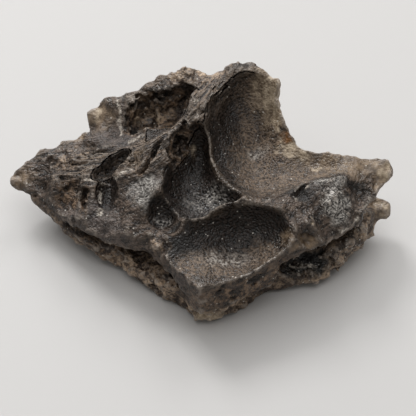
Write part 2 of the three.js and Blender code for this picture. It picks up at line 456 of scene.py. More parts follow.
class Wall(Enum):
    """How a bubble's wall froze."""

    SMOOTH = "smooth"
    RAGGED = "ragged"


@dataclass(frozen=True)
class Bubble:
    """A broken bubble: round spaces that run into one another.

    Args:
        parts: The round spaces.
        join: How softly they run together, in millimetres.
        wall: How its wall froze.
        lip: How round its rim is, in millimetres.
    """

    parts: tuple[Ellipsoid, ...]
    join: float = 0.4
    wall: Wall = Wall.SMOOTH
    lip: float = 0.08

    def distance(self, points: Array) -> Array:
        """Distance from the joined spaces, negative inside.

        Args:
            points: Places in millimetres, of shape (n, 3).

        Returns:
            The distance at each point.
        """
        whole = self.parts[0].distance(points)
        for part in self.parts[1:]:
            whole = blend_min(whole, part.distance(points), self.join)
        return whole

    def box(self) -> tuple[Point, Point]:
        """A box that holds it, with room around it.

        Returns:
            Its lowest and highest corners.
        """
        centres = np.array([p.at for p in self.parts])
        reach = np.array([[p.reach() + 2.0] for p in self.parts])
        return tuple((centres - reach).min(0)), tuple((centres + reach).max(0))


class Texture(Enum):
    """How a stretch of the outer surface froze or wore."""

    STRIATED = "striated"
    CRUSTY = "crusty"
    CRINKLED = "crinkled"
    FROTHY = "frothy"
    CRACKLED = "crackled"


@dataclass(frozen=True)
class Patch:
    """A soft-edged region of the stone.

    Args:
        at: Centre, in millimetres.
        radii: Half widths, in millimetres.
        turn: Turn about the upright axis, in degrees.
        soft: Share of the radius over which it fades.
    """

    at: Point
    radii: Point
    turn: float = 0.0
    soft: float = 0.5

    def weight(self, points: Array) -> Array:
        """How much of the patch shows at each point.

        Args:
            points: Places in millimetres, of shape (n, 3).

        Returns:
            1 well inside, 0 outside.
        """
        shape = Ellipsoid(self.at, self.radii, self.turn)
        own = (points - np.float32(self.at)) @ shape.axes() / np.float32(self.radii)
        return 1.0 - smoothstep(np.sqrt((own**2).sum(1)), 1.0 - self.soft, 1.0 + self.soft * 0.4)


@dataclass(frozen=True)
class Vein:
    """A thin line over the stone.

    Args:
        path: Points along it, in millimetres.
        width: Half its width, in millimetres.
    """

    path: tuple[Point, ...]
    width: float

    def weight(self, points: Array) -> Array:
        """How much of the line shows at each point.

        Args:
            points: Places in millimetres, of shape (n, 3).

        Returns:
            1 along the line, 0 away from it.
        """
        nearest = np.full(len(points), FAR, np.float32)
        for start, end in zip(np.float32(self.path), np.float32(self.path[1:])):
            step = end - start
            share = np.clip((points - start) @ step / (step @ step), 0.0, 1.0)
            gap = points - start - share[:, None] * step
            nearest = np.minimum(nearest, np.sqrt((gap * gap).sum(1)))
        return 1.0 - smoothstep(nearest, 0.4 * self.width, self.width)


def total_weight(patches: Sequence[Patch | Vein], points: Array) -> Array:
    """The strongest weight of several patches or lines at each point.

    Args:
        patches: The patches or lines.
        points: Places in millimetres, of shape (n, 3).

    Returns:
        One weight for each point, 0 to 1.
    """
    weights = np.zeros(len(points), np.float32)
    for patch in patches:
        weights = np.maximum(weights, patch.weight(points))
    return weights


# ---------------------------------------------------------------- stone


@dataclass(frozen=True)
class Cap:
    """The thick glassy cap: its top is ridges left standing between broken bubbles.

    Args:
        top: Its upper surface, before the bubbles broke into it.
        underside: Its lower surface.
        outline: Its outline in plan.
    """

    top: Relief = Relief(
        (
            # tail, from its tip along the far edge
            (-29.5, 3.0, 6.6), (-27.8, 6.0, 7.6), (-24.5, 8.8, 8.2), (-21.0, 9.0, 9.8),
            (-18.3, 9.8, 10.5),
            # lobe and far edge
            (-17.7, 12.2, 12.2), (-15.0, 13.6, 14.0), (-11.4, 13.4, 15.2), (-9.0, 13.6, 16.2),
            # crust, notch, peak and fin
            (-6.5, 14.5, 17.6), (-5.2, 11.6, 17.4), (-2.0, 10.6, 18.3), (-2.7, 14.7, 18.8),
            (-0.5, 14.2, 18.1), (4.8, 15.0, 19.7),
            (7.5, 13.9, 19.7), (10.9, 11.0, 19.6), (11.3, 8.0, 17.5),
            # saddle and shelf
            (12.7, 5.5, 14.4), (15.3, 3.3, 12.5), (21.0, 2.9, 12.4), (26.5, 2.2, 12.1),
            (27.4, 0.9, 11.4), (26.2, -1.3, 10.2),
            # the hill before the shelf, down to its edge
            (17.9, -2.6, 13.4), (18.5, -5.5, 13.2), (20.5, -7.5, 11.3), (13.0, -5.0, 13.4),
            (14.7, -9.8, 12.2), (23.4, -4.6, 9.6), (21.5, -7.8, 9.2), (17.8, -10.4, 8.8),
            (14.1, -12.1, 9.2),
            # rims between the bubbles
            (9.6, -9.0, 13.6), (12.1, -11.4, 12.4), (-1.9, -10.7, 13.8), (5.1, -8.2, 14.0),
            (-6.8, -5.0, 14.0), (-4.8, -9.6, 13.2), (7.8, -6.6, 13.4), (10.5, -4.7, 12.7),
            # main ridge, from the peak down to the tail
            (0.0, 8.0, 18.7), (-1.2, 4.7, 18.0), (-5.6, 2.5, 16.2), (-8.5, 0.5, 14.8),
            (-11.5, -0.3, 13.5), (-16.0, 0.7, 11.3), (-22.2, 1.4, 9.0),
            # hollow behind the ridge
            (-11.8, 6.4, 12.6), (-15.0, 8.0, 11.4), (-19.0, 6.0, 9.8),
            # slope from the ridge down to the near edge
            (-22.2, -3.0, 6.2), (-25.8, 0.8, 6.0), (-14.4, -7.0, 9.0), (-16.0, -8.4, 7.2),
            (-10.0, -5.5, 12.3), (-8.4, -10.5, 10.2), (-9.0, -11.3, 8.6),
            # near corner and the lip over the near wall
            (-6.2, -13.7, 9.5), (-3.4, -18.0, 9.8), (-1.4, -19.9, 10.0), (3.5, -18.2, 10.2),
            (8.1, -16.4, 10.6), (10.5, -13.9, 11.2),
        ),
        nearness=3.2,
    )
    underside: Relief = Relief(
        (
            (-16.0, -8.4, 5.8), (-9.0, -11.0, 6.2), (-22.0, -3.0, 4.7), (-26.0, 1.0, 4.9),
            (-29.5, 3.0, 5.6), (-21.0, 9.0, 6.5), (-18.5, 12.4, 10.5), (-15.0, 13.5, 11.0),
            (-11.0, 13.5, 10.0), (-3.0, 14.5, 10.0), (5.0, 15.0, 12.0), (8.0, 14.0, 13.0),
            (11.0, 11.0, 14.0), (11.5, 8.0, 12.5), (13.0, 5.5, 11.3), (21.0, 3.0, 10.8),
            (26.5, 2.2, 10.4), (27.4, 0.9, 9.6), (23.4, -4.6, 8.5), (21.5, -7.8, 8.0),
            (17.8, -10.5, 7.9), (14.0, -12.0, 7.4), (10.5, -14.0, 4.5), (0.0, -20.0, 3.0),
            (-3.5, -18.0, 5.2), (0.0, 0.0, 2.0), (-10.0, 2.0, 2.0), (10.0, -4.0, 4.0),
            (-4.0, -12.0, 3.0), (5.0, -13.0, 3.0), (-5.0, 9.0, 5.0), (4.0, 9.0, 7.0),
            (17.0, -3.0, 7.0), (-20.0, 3.0, 4.0),
        )
    )
    outline: Outline = Outline(
        (
            (-29.9, 3.3), (-28.0, 6.3), (-24.8, 9.1), (-21.2, 9.2), (-18.2, 10.0), (-18.5, 12.0),
            (-17.3, 13.3), (-14.8, 14.0), (-11.2, 14.0), (-9.0, 14.4), (-6.8, 15.2), (-2.7, 15.3),
            (-0.5, 14.7), (2.2, 14.9), (4.8, 15.6), (7.8, 14.6), (10.8, 11.6), (10.5, 9.9),
            (11.6, 7.0), (12.8, 5.4), (14.9, 3.6), (21.2, 3.2), (24.5, 3.0), (26.4, 2.7),
            (27.8, 0.8), (25.9, -1.4), (23.4, -4.7), (21.6, -7.8), (17.9, -10.8), (14.2, -12.5),
            (10.9, -14.2), (8.6, -16.2), (3.6, -18.8), (-0.4, -20.4), (-1.6, -20.2), (-3.6, -18.0),
            (-6.6, -14.2), (-9.0, -11.4), (-12.2, -10.2), (-16.2, -8.4), (-21.2, -4.2),
            (-25.5, 0.7),
        )
    )


@dataclass(frozen=True)
class Base:
    """The thinner, frothy layer under the cap, which the stone rests on.

    Args:
        top: Its upper surface.
        underside: Its lower surface.
        outline: Its outline in plan.
    """

    top: Relief = Relief(
        (
            (-24.0, 1.0, 5.0), (-16.0, -7.0, 4.2), (-10.0, -11.0, 3.6), (-5.0, -15.0, 4.0),
            (0.0, -19.0, 5.0), (8.0, -14.0, 5.0), (14.0, -13.0, 3.2), (18.4, -10.2, 6.0),
            (20.8, -8.8, 6.8), (22.8, -6.2, 6.9), (24.0, -3.4, 6.6), (26.4, -1.2, 5.6),
            (25.2, -4.8, 4.4), (23.2, -7.8, 4.0), (20.6, -10.4, 3.6), (17.5, -12.4, 3.2),
            (0.0, 0.0, 9.0), (0.0, 10.0, 9.0), (-12.0, 8.0, 8.0), (12.0, 0.0, 8.0), (20.0, -1.0, 8.0),
        )
    )
    underside: Relief = Relief(
        (
            (-30.0, 2.0, 5.0), (-24.0, 0.0, 3.4), (-18.0, -5.5, 1.8), (-12.0, -8.0, 0.4),
            (-20.0, 5.0, 2.2), (-12.0, 9.0, 1.2), (-6.0, 12.0, 1.0), (4.0, 11.0, 1.0),
            (9.0, 6.0, 0.8), (18.0, -1.0, 1.6), (26.5, -1.0, 3.4), (23.0, -6.0, 2.0),
            (17.0, -11.0, 0.6), (12.0, -12.5, 0.2), (0.0, -19.0, 0.1), (-5.0, -15.0, 0.1),
            (0.0, -14.0, -0.6), (-8.0, 0.0, -0.8), (0.0, 0.0, -1.0), (8.0, -4.0, -0.8),
            (0.0, 6.0, -0.5), (7.0, -9.0, -0.7),
        )
    )
    outline: Outline = Outline(
        (
            (-26.5, 1.0), (-26.0, 4.5), (-22.0, 6.5), (-17.0, 8.5), (-14.0, 11.5), (-8.0, 13.0),
            (0.0, 12.5), (6.0, 11.5), (8.0, 6.0), (12.0, 1.5), (20.0, 0.0), (25.0, 0.7),
            (27.0, 0.3), (27.6, -1.0), (26.8, -2.3), (25.2, -2.8), (25.2, -4.2), (23.9, -5.6),
            (23.2, -7.2), (21.5, -8.6), (19.4, -10.5), (16.2, -12.6), (12.1, -13.2),
            (8.8, -13.8), (6.2, -16.0), (3.2, -18.5), (0.8, -19.6), (-2.0, -19.3), (-3.6, -16.8),
            (-7.0, -14.8), (-11.5, -11.5), (-14.0, -8.9), (-17.0, -8.0), (-22.3, -3.4),
        )
    )


BUBBLES: dict[str, Bubble] = {
    "left_bowl": Bubble(
        (
            Ellipsoid((-2.3, -4.6, 14.6), (4.3, 5.7, 5.0), turn=2),
            Ellipsoid((1.6, -5.6, 14.2), (3.9, 1.9, 3.7), turn=-26),
            Ellipsoid((-1.7, 0.4, 16.2), (2.1, 4.2, 5.4), turn=-8),
        ),
        join=2.0,
    ),
    "bowl_shoulder": Bubble(
        (
            Ellipsoid((-4.1, 1.4, 16.2), (1.9, 4.0, 3.6), turn=-14),
            Ellipsoid((-2.0, 4.0, 17.0), (0.5, 1.1, 1.4), turn=-30),
        ),
        wall=Wall.RAGGED,
        lip=0.5,
    ),
    "right_bowl": Bubble(
        (
            Ellipsoid((5.8, 3.8, 19.5), (6.3, 9.4, 8.2), turn=-5),
            Ellipsoid((8.4, -0.6, 18.6), (8.4, 8.3, 7.8)),
            Ellipsoid((16.0, 0.6, 21.6), (12.0, 5.0, 10.2), turn=-4),
        ),
        join=2.5,
        lip=0.3,
    ),
    "shelf_sweep": Bubble((Ellipsoid((22.0, 1.2, 22.6), (11.0, 5.0, 10.6), turn=-4),)),
    "trough": Bubble(
        (
            Ellipsoid((4.0, -12.6, 12.2), (7.4, 4.4, 3.9), turn=8),
            Ellipsoid((2.6, -17.0, 19.6), (14.0, 7.5, 10.6), turn=28),
            Ellipsoid((-4.4, -15.4, 18.8), (6.2, 6.2, 9.6), turn=-20),
        ),
        join=2.6,
        lip=0.15,
    ),
    "eye": Bubble(
        (Ellipsoid((-6.8, -8.6, 12.6), (2.4, 2.5, 3.2), turn=-25),),
        lip=0.2,
    ),
    "eye_mouth": Bubble((Ellipsoid((-6.2, -10.0, 12.9), (2.2, 2.2, 3.0), turn=-20),), lip=1.6),
    "far_hollow": Bubble(
        (
            Ellipsoid((-5.4, 10.3, 15.2), (5.0, 2.4, 3.3), turn=12, tilt=-14),
            Ellipsoid((-9.6, 10.2, 14.2), (3.2, 2.4, 3.8), turn=26),
            Ellipsoid((-11.4, 9.2, 13.4), (1.6, 2.4, 2.8), turn=-12),
        ),
        join=0.8,
        wall=Wall.RAGGED,
        lip=0.4,
    ),
    "hollow_slope": Bubble((Ellipsoid((-8.0, 6.8, 17.6), (5.6, 2.8, 4.3), turn=32),), lip=1.2),
    "hollow_pits": Bubble(
        (
            Ellipsoid((-11.6, 11.9, 13.9), (0.9, 0.8, 0.8)),
            Ellipsoid((-10.2, 12.5, 14.6), (1.0, 0.8, 0.8)),
            Ellipsoid((-8.0, 13.0, 14.9), (0.9, 0.7, 0.7)),
            Ellipsoid((-5.4, 12.9, 15.6), (1.6, 0.8, 0.8), turn=6),
            Ellipsoid((-11.3, 10.0, 11.5), (1.1, 0.8, 0.7), turn=-20),
        ),
        join=0.3,
        wall=Wall.RAGGED,
        lip=0.3,
    ),
    "almond": Bubble((Ellipsoid((-14.3, 1.2, 12.2), (3.6, 1.4, 2.8), turn=38, tilt=-10),), lip=0.12),
    "flute": Bubble((Ellipsoid((-15.1, -4.0, 11.2), (1.5, 3.6, 2.3), turn=-8, roll=-26),), lip=1.0),
    "small_flute": Bubble(
        (Ellipsoid((-18.3, -3.0, 8.9), (0.7, 2.2, 1.5), turn=-14, roll=-20),),
        wall=Wall.RAGGED,
        lip=0.7,
    ),
    "tail_pit": Bubble(
        (Ellipsoid((-21.1, -1.2, 9.6), (2.3, 1.8, 2.0), turn=10),), wall=Wall.RAGGED, lip=1.0
    ),
    "ridge_slit": Bubble(
        (
            Ellipsoid((-9.3, -0.9, 14.4), (0.5, 1.7, 1.7), turn=-50),
            Ellipsoid((-7.9, 1.2, 15.5), (0.4, 2.0, 1.4), turn=-30),
        ),
        wall=Wall.RAGGED,
        lip=0.3,
    ),
    "hill_slit": Bubble((Ellipsoid((13.3, -4.8, 13.5), (0.42, 2.1, 1.7), turn=-35),)),
    "hill_hollow": Bubble((Ellipsoid((13.6, -6.4, 16.8), (2.6, 2.4, 3.9)),), lip=1.0),
    "hill_cleft": Bubble((Ellipsoid((16.3, -9.2, 12.4), (1.3, 2.5, 1.5), roll=38),), lip=0.7),
    "hill_ring": Bubble((Ellipsoid((14.9, -9.4, 12.0), (0.6, 0.45, 0.4), roll=20),)),
    "tip_pit": Bubble(
        (
            Ellipsoid((22.2, -2.8, 12.0), (1.3, 0.8, 1.3), turn=-8),
            Ellipsoid((23.7, -3.0, 11.3), (0.9, 0.8, 1.1), turn=-36),
        ),
        lip=0.12,
    ),
    # slots between the cap and the base, from the tail to the near corner
    "tail_slot": Bubble(
        (Ellipsoid((-19.2, -6.0, 4.7), (3.2, 1.8, 0.5), turn=-42, tilt=4),), wall=Wall.RAGGED
    ),
    "side_slot": Bubble(
        (Ellipsoid((-12.6, -10.8, 5.0), (4.8, 2.6, 1.3), turn=-28, roll=-10),), wall=Wall.RAGGED
    ),
    "corner_slot": Bubble(
        (Ellipsoid((-6.6, -14.4, 5.4), (4.0, 2.2, 1.2), turn=-50, roll=-6),), wall=Wall.RAGGED
    ),
    "froth_cave": Bubble(
        (
            Ellipsoid((14.7, -13.4, 5.9), (5.1, 3.7, 2.2), turn=18, tilt=-4, roll=-12),
            Ellipsoid((21.0, -9.0, 7.4), (4.0, 1.8, 0.6), turn=50, tilt=-4, roll=-6),
        ),
        join=1.0,
        wall=Wall.RAGGED,
    ),
    "lip_pits": Bubble(
        (
            Ellipsoid((1.7, -19.7, 7.6), (0.5, 0.7, 0.4)),
            Ellipsoid((2.5, -19.4, 8.6), (0.4, 0.6, 0.3)),
            Ellipsoid((4.7, -18.4, 8.5), (0.6, 0.7, 0.35), turn=28),
            Ellipsoid((6.6, -17.4, 7.4), (1.0, 0.8, 0.4), turn=30),
            Ellipsoid((8.0, -16.7, 7.6), (0.6, 0.7, 0.35), turn=30),
            Ellipsoid((3.6, -18.8, 6.4), (0.5, 0.7, 0.35), turn=28),
        ),
        join=0.2,
    ),
    # broken bubbles of the far side, below the thin lips
    "lobe_bubble": Bubble((Ellipsoid((-16.0, 15.2, 6.4), (5.6, 4.6, 4.0), turn=12),)),
    "peak_bubble": Bubble((Ellipsoid((-3.2, 17.2, 8.4), (4.2, 3.6, 3.6), tilt=10),)),
    "fin_bubble": Bubble((Ellipsoid((13.2, 13.6, 9.4), (6.4, 5.6, 6.4), turn=-30),)),
    "shelf_bubble": Bubble((Ellipsoid((20.5, 6.6, 5.8), (6.8, 5.6, 4.6), turn=-8),)),
}

TEXTURES: dict[Texture, tuple[Patch, ...]] = {
    Texture.STRIATED: (
        Patch((-1.0, 8.5, 18.0), (10.0, 4.0, 5.0), turn=38),
        Patch((-8.5, 2.6, 14.5), (9.0, 4.5, 5.0), turn=36),
        Patch((-17.0, 2.0, 10.0), (8.0, 5.0, 4.0), turn=14),
        Patch((-4.2, 2.8, 15.5), (2.6, 4.6, 4.0), turn=-20),
    ),
    Texture.CRUSTY: (
        Patch((-3.6, 14.0, 18.5), (6.5, 3.6, 3.0), turn=8),
        Patch((-24.5, 4.8, 8.0), (5.0, 3.0, 2.6), turn=24),
        Patch((5.0, 14.6, 19.6), (4.0, 2.0, 2.0)),
        Patch((-27.0, 2.6, 6.0), (3.5, 4.0, 2.6)),
    ),
    Texture.CRINKLED: (
        Patch((20.5, -6.0, 11.6), (5.5, 5.0, 3.6), turn=-10),
        Patch((12.6, -11.6, 10.5), (3.5, 2.6, 3.0)),
    ),
    Texture.FROTHY: (
        Patch((19.0, -9.5, 2.6), (9.5, 6.0, 3.6), turn=24),
        Patch((24.0, -5.6, 3.8), (3.0, 3.8, 2.4)),
        Patch((-12.5, -11.0, 2.2), (11.0, 3.4, 2.8), turn=-32),
        Patch((2.5, -18.6, 1.6), (8.5, 3.6, 2.8), turn=10),
        Patch((-6.5, -13.6, 9.0), (2.6, 2.6, 2.0)),
        Patch((10.5, -14.0, 6.5), (3.0, 2.6, 3.0)),
    ),
    Texture.CRACKLED: (
        Patch((18.7, -5.8, 12.0), (2.6, 4.0, 3.0), turn=24, soft=0.35),
        Patch((19.8, -2.6, 12.8), (4.5, 1.6, 1.6), turn=-8),
        Patch((-8.6, -5.0, 13.0), (2.2, 2.0, 2.0)),
    ),
}


@dataclass(frozen=True)
class Flow:
    """The way the melt was drawn out before it froze.

    Args:
        path: Points along the main ridge, which the streaks run beside, in millimetres.
    """

    path: tuple[Point, ...] = (
        (-26.0, 3.0, 7.6), (-16.0, 0.9, 11.4), (-11.5, 0.0, 13.5), (-5.6, 2.5, 16.2),
        (-1.2, 5.4, 18.2), (4.8, 14.8, 19.8),
    )

    def places(self, points: Array) -> Array:
        """Measures places along, across and through the flow.

        Args:
            points: Places in millimetres, of shape (n, 3).

        Returns:
            The same places, as distances along the path, beside it and above it.
        """
        total = np.zeros(points.shape)
        weights = np.zeros((len(points), 1))
        run = 0.0
        for start, end in zip(np.array(self.path), np.array(self.path[1:])):
            length = np.linalg.norm(end - start)
            ahead = (end - start) / length
            side = np.array([-ahead[1], ahead[0], 0.0]) / math.hypot(ahead[0], ahead[1])
            own = (points - start) @ np.stack([ahead, side, np.cross(ahead, side)], axis=1)
            past = own[:, 0] - np.clip(own[:, 0], 0.0, length)
            gap = past**2 + own[:, 1] ** 2 + own[:, 2] ** 2
            weight = (1.0 / (gap + 2.0) ** 2)[:, None]
            total += weight * (own + (run, 0.0, 0.0))
            weights += weight
            run += length
        return (total / weights).astype(np.float32)


@dataclass
class StoneField:
    """The stone as distances from its surface, negative inside, in millimetres.

    Args:
        grid: Where the distances are held.
        cap: The glassy cap.
        base: The frothy base.
        bubbles: The broken bubbles.
        flow: The way the melt was drawn out.
        undercut_from: Height below which the far side leans in, in millimetres.
        undercut_slope: How far it leans in for each millimetre down.
    """

    grid: Grid
    cap: Cap = Cap()
    base: Base = Base()
    bubbles: dict[str, Bubble] = field(default_factory=lambda: BUBBLES)
    flow: Flow = Flow()
    undercut_from: float = 11.0
    undercut_slope: float = 0.32
    body: Array = field(init=False)
    froth: Array = field(init=False)
    bubble_walls: dict[Wall, Array] = field(init=False)

    def __post_init__(self) -> None:
        """Forms the body, roughens it and breaks the bubbles into it."""
        self.noise = Noise(11)
        self.bubble_walls = {}
        self._form_layers()
        self._roughen()
        self._break_bubbles()
        self._grain()

    def _leaning(self, plan: Array) -> Array:
        """Stacks a plan distance up the height, leaning in below the far side's lips.

        Args:
            plan: Distance from an outline at each column.

        Returns:
            The distance at each sample of the grid.
        """
        y = self.grid.axis(1)
        layers = []
        for z in self.grid.axis(2):
            lean = self.undercut_slope * max(0.0, self.undercut_from - z)
            moved = y + lean * smoothstep(y, 0.0, 12.0)
            place = np.clip((moved - y[0]) / self.grid.step, 0, len(y) - 1.001)
            row = place.astype(int)
            share = (place - row).astype(np.float32)
            layers.append(plan[:, row] * (1 - share) + plan[:, row + 1] * share)
        return np.stack(layers, axis=2)

    def _form_layers(self) -> None:
        """Makes the plain cap and base, and joins them."""
        x, y = np.meshgrid(self.grid.axis(0), self.grid.axis(1), indexing="ij")
        z = self.grid.axis(2)[None, None, :]
        cap = self._leaning(self.cap.outline.distance(x, y))
        cap = blend_max((z - self.cap.top.height(x, y)[..., None]) * 0.85, cap, 0.45)
        cap = blend_max(cap, (self.cap.underside.height(x, y)[..., None] - z) * 0.85, 0.8)
        base = self._leaning(self.base.outline.distance(x, y))
        base = blend_max(base, (z - self.base.top.height(x, y)[..., None]) * 0.9, 0.8)
        base = blend_max(base, (self.base.underside.height(x, y)[..., None] - z) * 0.9, 1.0)
        self.froth = (cap - base).astype(np.float32)
        self.body = blend_min(cap, base, 0.6).astype(np.float32)

    def _texture_weights(self, points: Array) -> dict[Texture, Array]:
        """How strongly each texture shows at each point."""
        return {kind: total_weight(patches, points) for kind, patches in TEXTURES.items()}

    def _roughen(self) -> None:
        """Adds lumps, flow ridges, crust, crinkles and froth to the outer surface."""
        whole = self.grid.block(self.grid.low, self.grid.high)
        band = np.abs(self.body) < 1.8
        points = self.grid.points(band, whole)
        flow = self.flow.places(points)
        weights = self._texture_weights(points)
        bend = 0.9 * self.noise.at(points, (5.0, 5.0, 5.0))[:, None]
        rough = 0.26 * self.noise.at(points, (3.4, 3.4, 2.6), octaves=3)
        striated = self.noise.at(flow + 0.5 * bend, (10.0, 1.5, 1.8), octaves=2, ridged=True)
        rough += (0.05 + 0.34 * weights[Texture.STRIATED]) * striated
        crusty = self.noise.at(points + bend, (1.5, 1.5, 1.1), octaves=3, ridged=True)
        rough += 0.26 * weights[Texture.CRUSTY] * crusty
        crinkled = self.noise.at(points + 2 * bend, (3.0, 2.2, 2.2), octaves=3, ridged=True)
        rough += 0.34 * weights[Texture.CRINKLED] * crinkled
        frothy = self.noise.at(points, (1.3, 1.3, 0.9), octaves=3)
        rough += 0.34 * weights[Texture.FROTHY] * frothy
        self.body[band] -= rough

    def _break_bubbles(self) -> None:
        """Opens the bubbles into the body, each with walls that stray a little from true."""
        for wall in Wall:
            self.bubble_walls[wall] = np.full(self.body.shape, FAR, np.float32)
        for bubble in self.bubbles.values():
            block = self.grid.block(*bubble.box())
            local = self.body[block]
            everywhere = np.ones(local.shape, bool)
            space = bubble.distance(self.grid.points(everywhere, block)).reshape(local.shape)
            near = np.abs(space) < 1.6
            points = self.grid.points(near, block)
            stray = [
                0.55 * self.noise.at(points + shift, (6.0, 6.0, 6.0))
                + 0.14 * self.noise.at(points + shift, (2.2, 2.2, 2.2), octaves=2)
                for shift in (0.0, 21.0, 42.0)
            ]
            space[near] = bubble.distance(points + np.stack(stray, axis=1))
            if bubble.wall is not Wall.SMOOTH:
                lumps = self.noise.at(points, (2.2, 1.8, 1.5), octaves=3, ridged=True)
                space[near] += min(0.48, 0.35 * min(bubble.parts[0].radii)) * lumps
            self.body[block] = blend_max(local, -space, bubble.lip)
            walls = self.bubble_walls[bubble.wall]
            walls[block] = np.minimum(walls[block], space)

    def mounds(self, points: Array) -> Array:
        """Packed lumps of two sizes: about 1 on their tops, and 0 in the creases between."""
        return 0.55 * self.noise.lumps(points, 2.1) + 0.45 * self.noise.lumps(points + 9.0, 0.95)

    def _grain(self) -> None:
        """Gives the skin its grain: coarse outside, and a faint one in the bubbles."""
        whole = self.grid.block(self.grid.low, self.grid.high)
        band = np.abs(self.body) < 0.8
        points = self.grid.points(band, whole)
        inside = 1.0 - smoothstep(np.abs(self.bubble_walls[Wall.SMOOTH][band]), 0.05, 0.50)
        weights = self._texture_weights(points)
        outside = np.maximum(1.0 - inside, 0.8 * weights[Texture.STRIATED])
        grain = self.noise.at(points, (1.0, 1.0, 0.8), octaves=2)
        wrinkle = self.noise.at(points + 31.0, (2.4, 2.4, 1.8), octaves=3, ridged=True)
        calm = 1.0 - 0.6 * weights[Texture.STRIATED]
        relief = (0.02 + 0.08 * outside * calm) * grain + (0.012 + 0.09 * outside * calm) * wrinkle
        striae = self.noise.at(self.flow.places(points), (7.0, 0.75, 0.85), octaves=2, ridged=True)
        relief += 0.26 * weights[Texture.STRIATED] * outside * striae
        crackle = self.noise.at(points + 13.0, (1.3, 1.0, 1.0), octaves=2, ridged=True)
        relief -= 0.26 * weights[Texture.CRACKLED] * smoothstep(crackle, 0.1, 0.8)
        lumpy = np.maximum(0.3 * weights[Texture.CRUSTY], 0.9 * weights[Texture.FROTHY]) * outside
        ragged = 1.0 - smoothstep(np.abs(self.bubble_walls[Wall.RAGGED][band]), 0.1, 0.6)
        lumpy = np.maximum(lumpy, 0.9 * ragged)
        some = lumpy > 0.02
        level = 0.55 + 0.25 * weights[Texture.FROTHY][some]
        relief[some] += 0.55 * lumpy[some] * (self.mounds(points[some]) - level)
        self.body[band] -= relief

    def open_vesicles(self, vesicles: Array) -> None:
        """Opens small round pits.

        Args:
            vesicles: Distance from the pits' walls, on the same grid.
        """
        self.body = blend_max(self.body, -vesicles, 0.06)

    def rest(self, low: Point, high: Point) -> None:
        """Wears the underside flat at the floor, and keeps the stone inside a box.

        Args:
            low: The box's lowest corner, in millimetres.
            high: The box's highest corner, in millimetres.
        """
        x, y, z = (self.grid.axis(k) for k in range(3))
        across = np.maximum(low[0] - x, x - high[0])
        along = np.maximum(low[1] - y, y - high[1])
        ends = np.maximum(low[2] - z, z - high[2])
        sides = np.maximum(across[:, None], along[None, :])
        self.body = np.maximum(self.body, np.maximum(sides[:, :, None], ends[None, None, :]))

    def surface(self) -> tuple[Array, Faces]:
        """Meshes the stone's surface.

        Returns:
            Vertices in millimetres, and faces that look outwards.
        """
        field_grid = openvdb.FloatGrid(background=3.0)
        field_grid.copyFromArray(np.clip(self.body, -3.0, 3.0).astype(np.float32))
        points, triangles, quads = field_grid.convertToPolygons(isovalue=0.0, adaptivity=0.0)
        vertices = points * self.grid.step + np.float32(self.grid.low)
        faces = [list(map(int, face)) for face in (*triangles, *quads)]
        return vertices, faces


class NodeLayout:
    """A node tree, with one short way to add to it."""

    def __init__(self, tree: bpy.types.NodeTree) -> None:
        """Takes over a tree."""
        self.tree = tree

    def add(
        self, kind: str, inputs: dict[str | int, object] | None = None, **settings: object
    ) -> bpy.types.Node:
        """Adds a node.

        Args:
            kind: The node's type.
            inputs: A value, or a socket to link, for each named or numbered input.
            **settings: The node's own settings.

        Returns:
            The node.
        """
        node = self.tree.nodes.new(kind)
        for name, value in settings.items():
            setattr(node, name, value)
        for key, value in (inputs or {}).items():
            if isinstance(value, Socket):
                self.tree.links.new(value, node.inputs[key])
            else:
                node.inputs[key].default_value = value
        return node


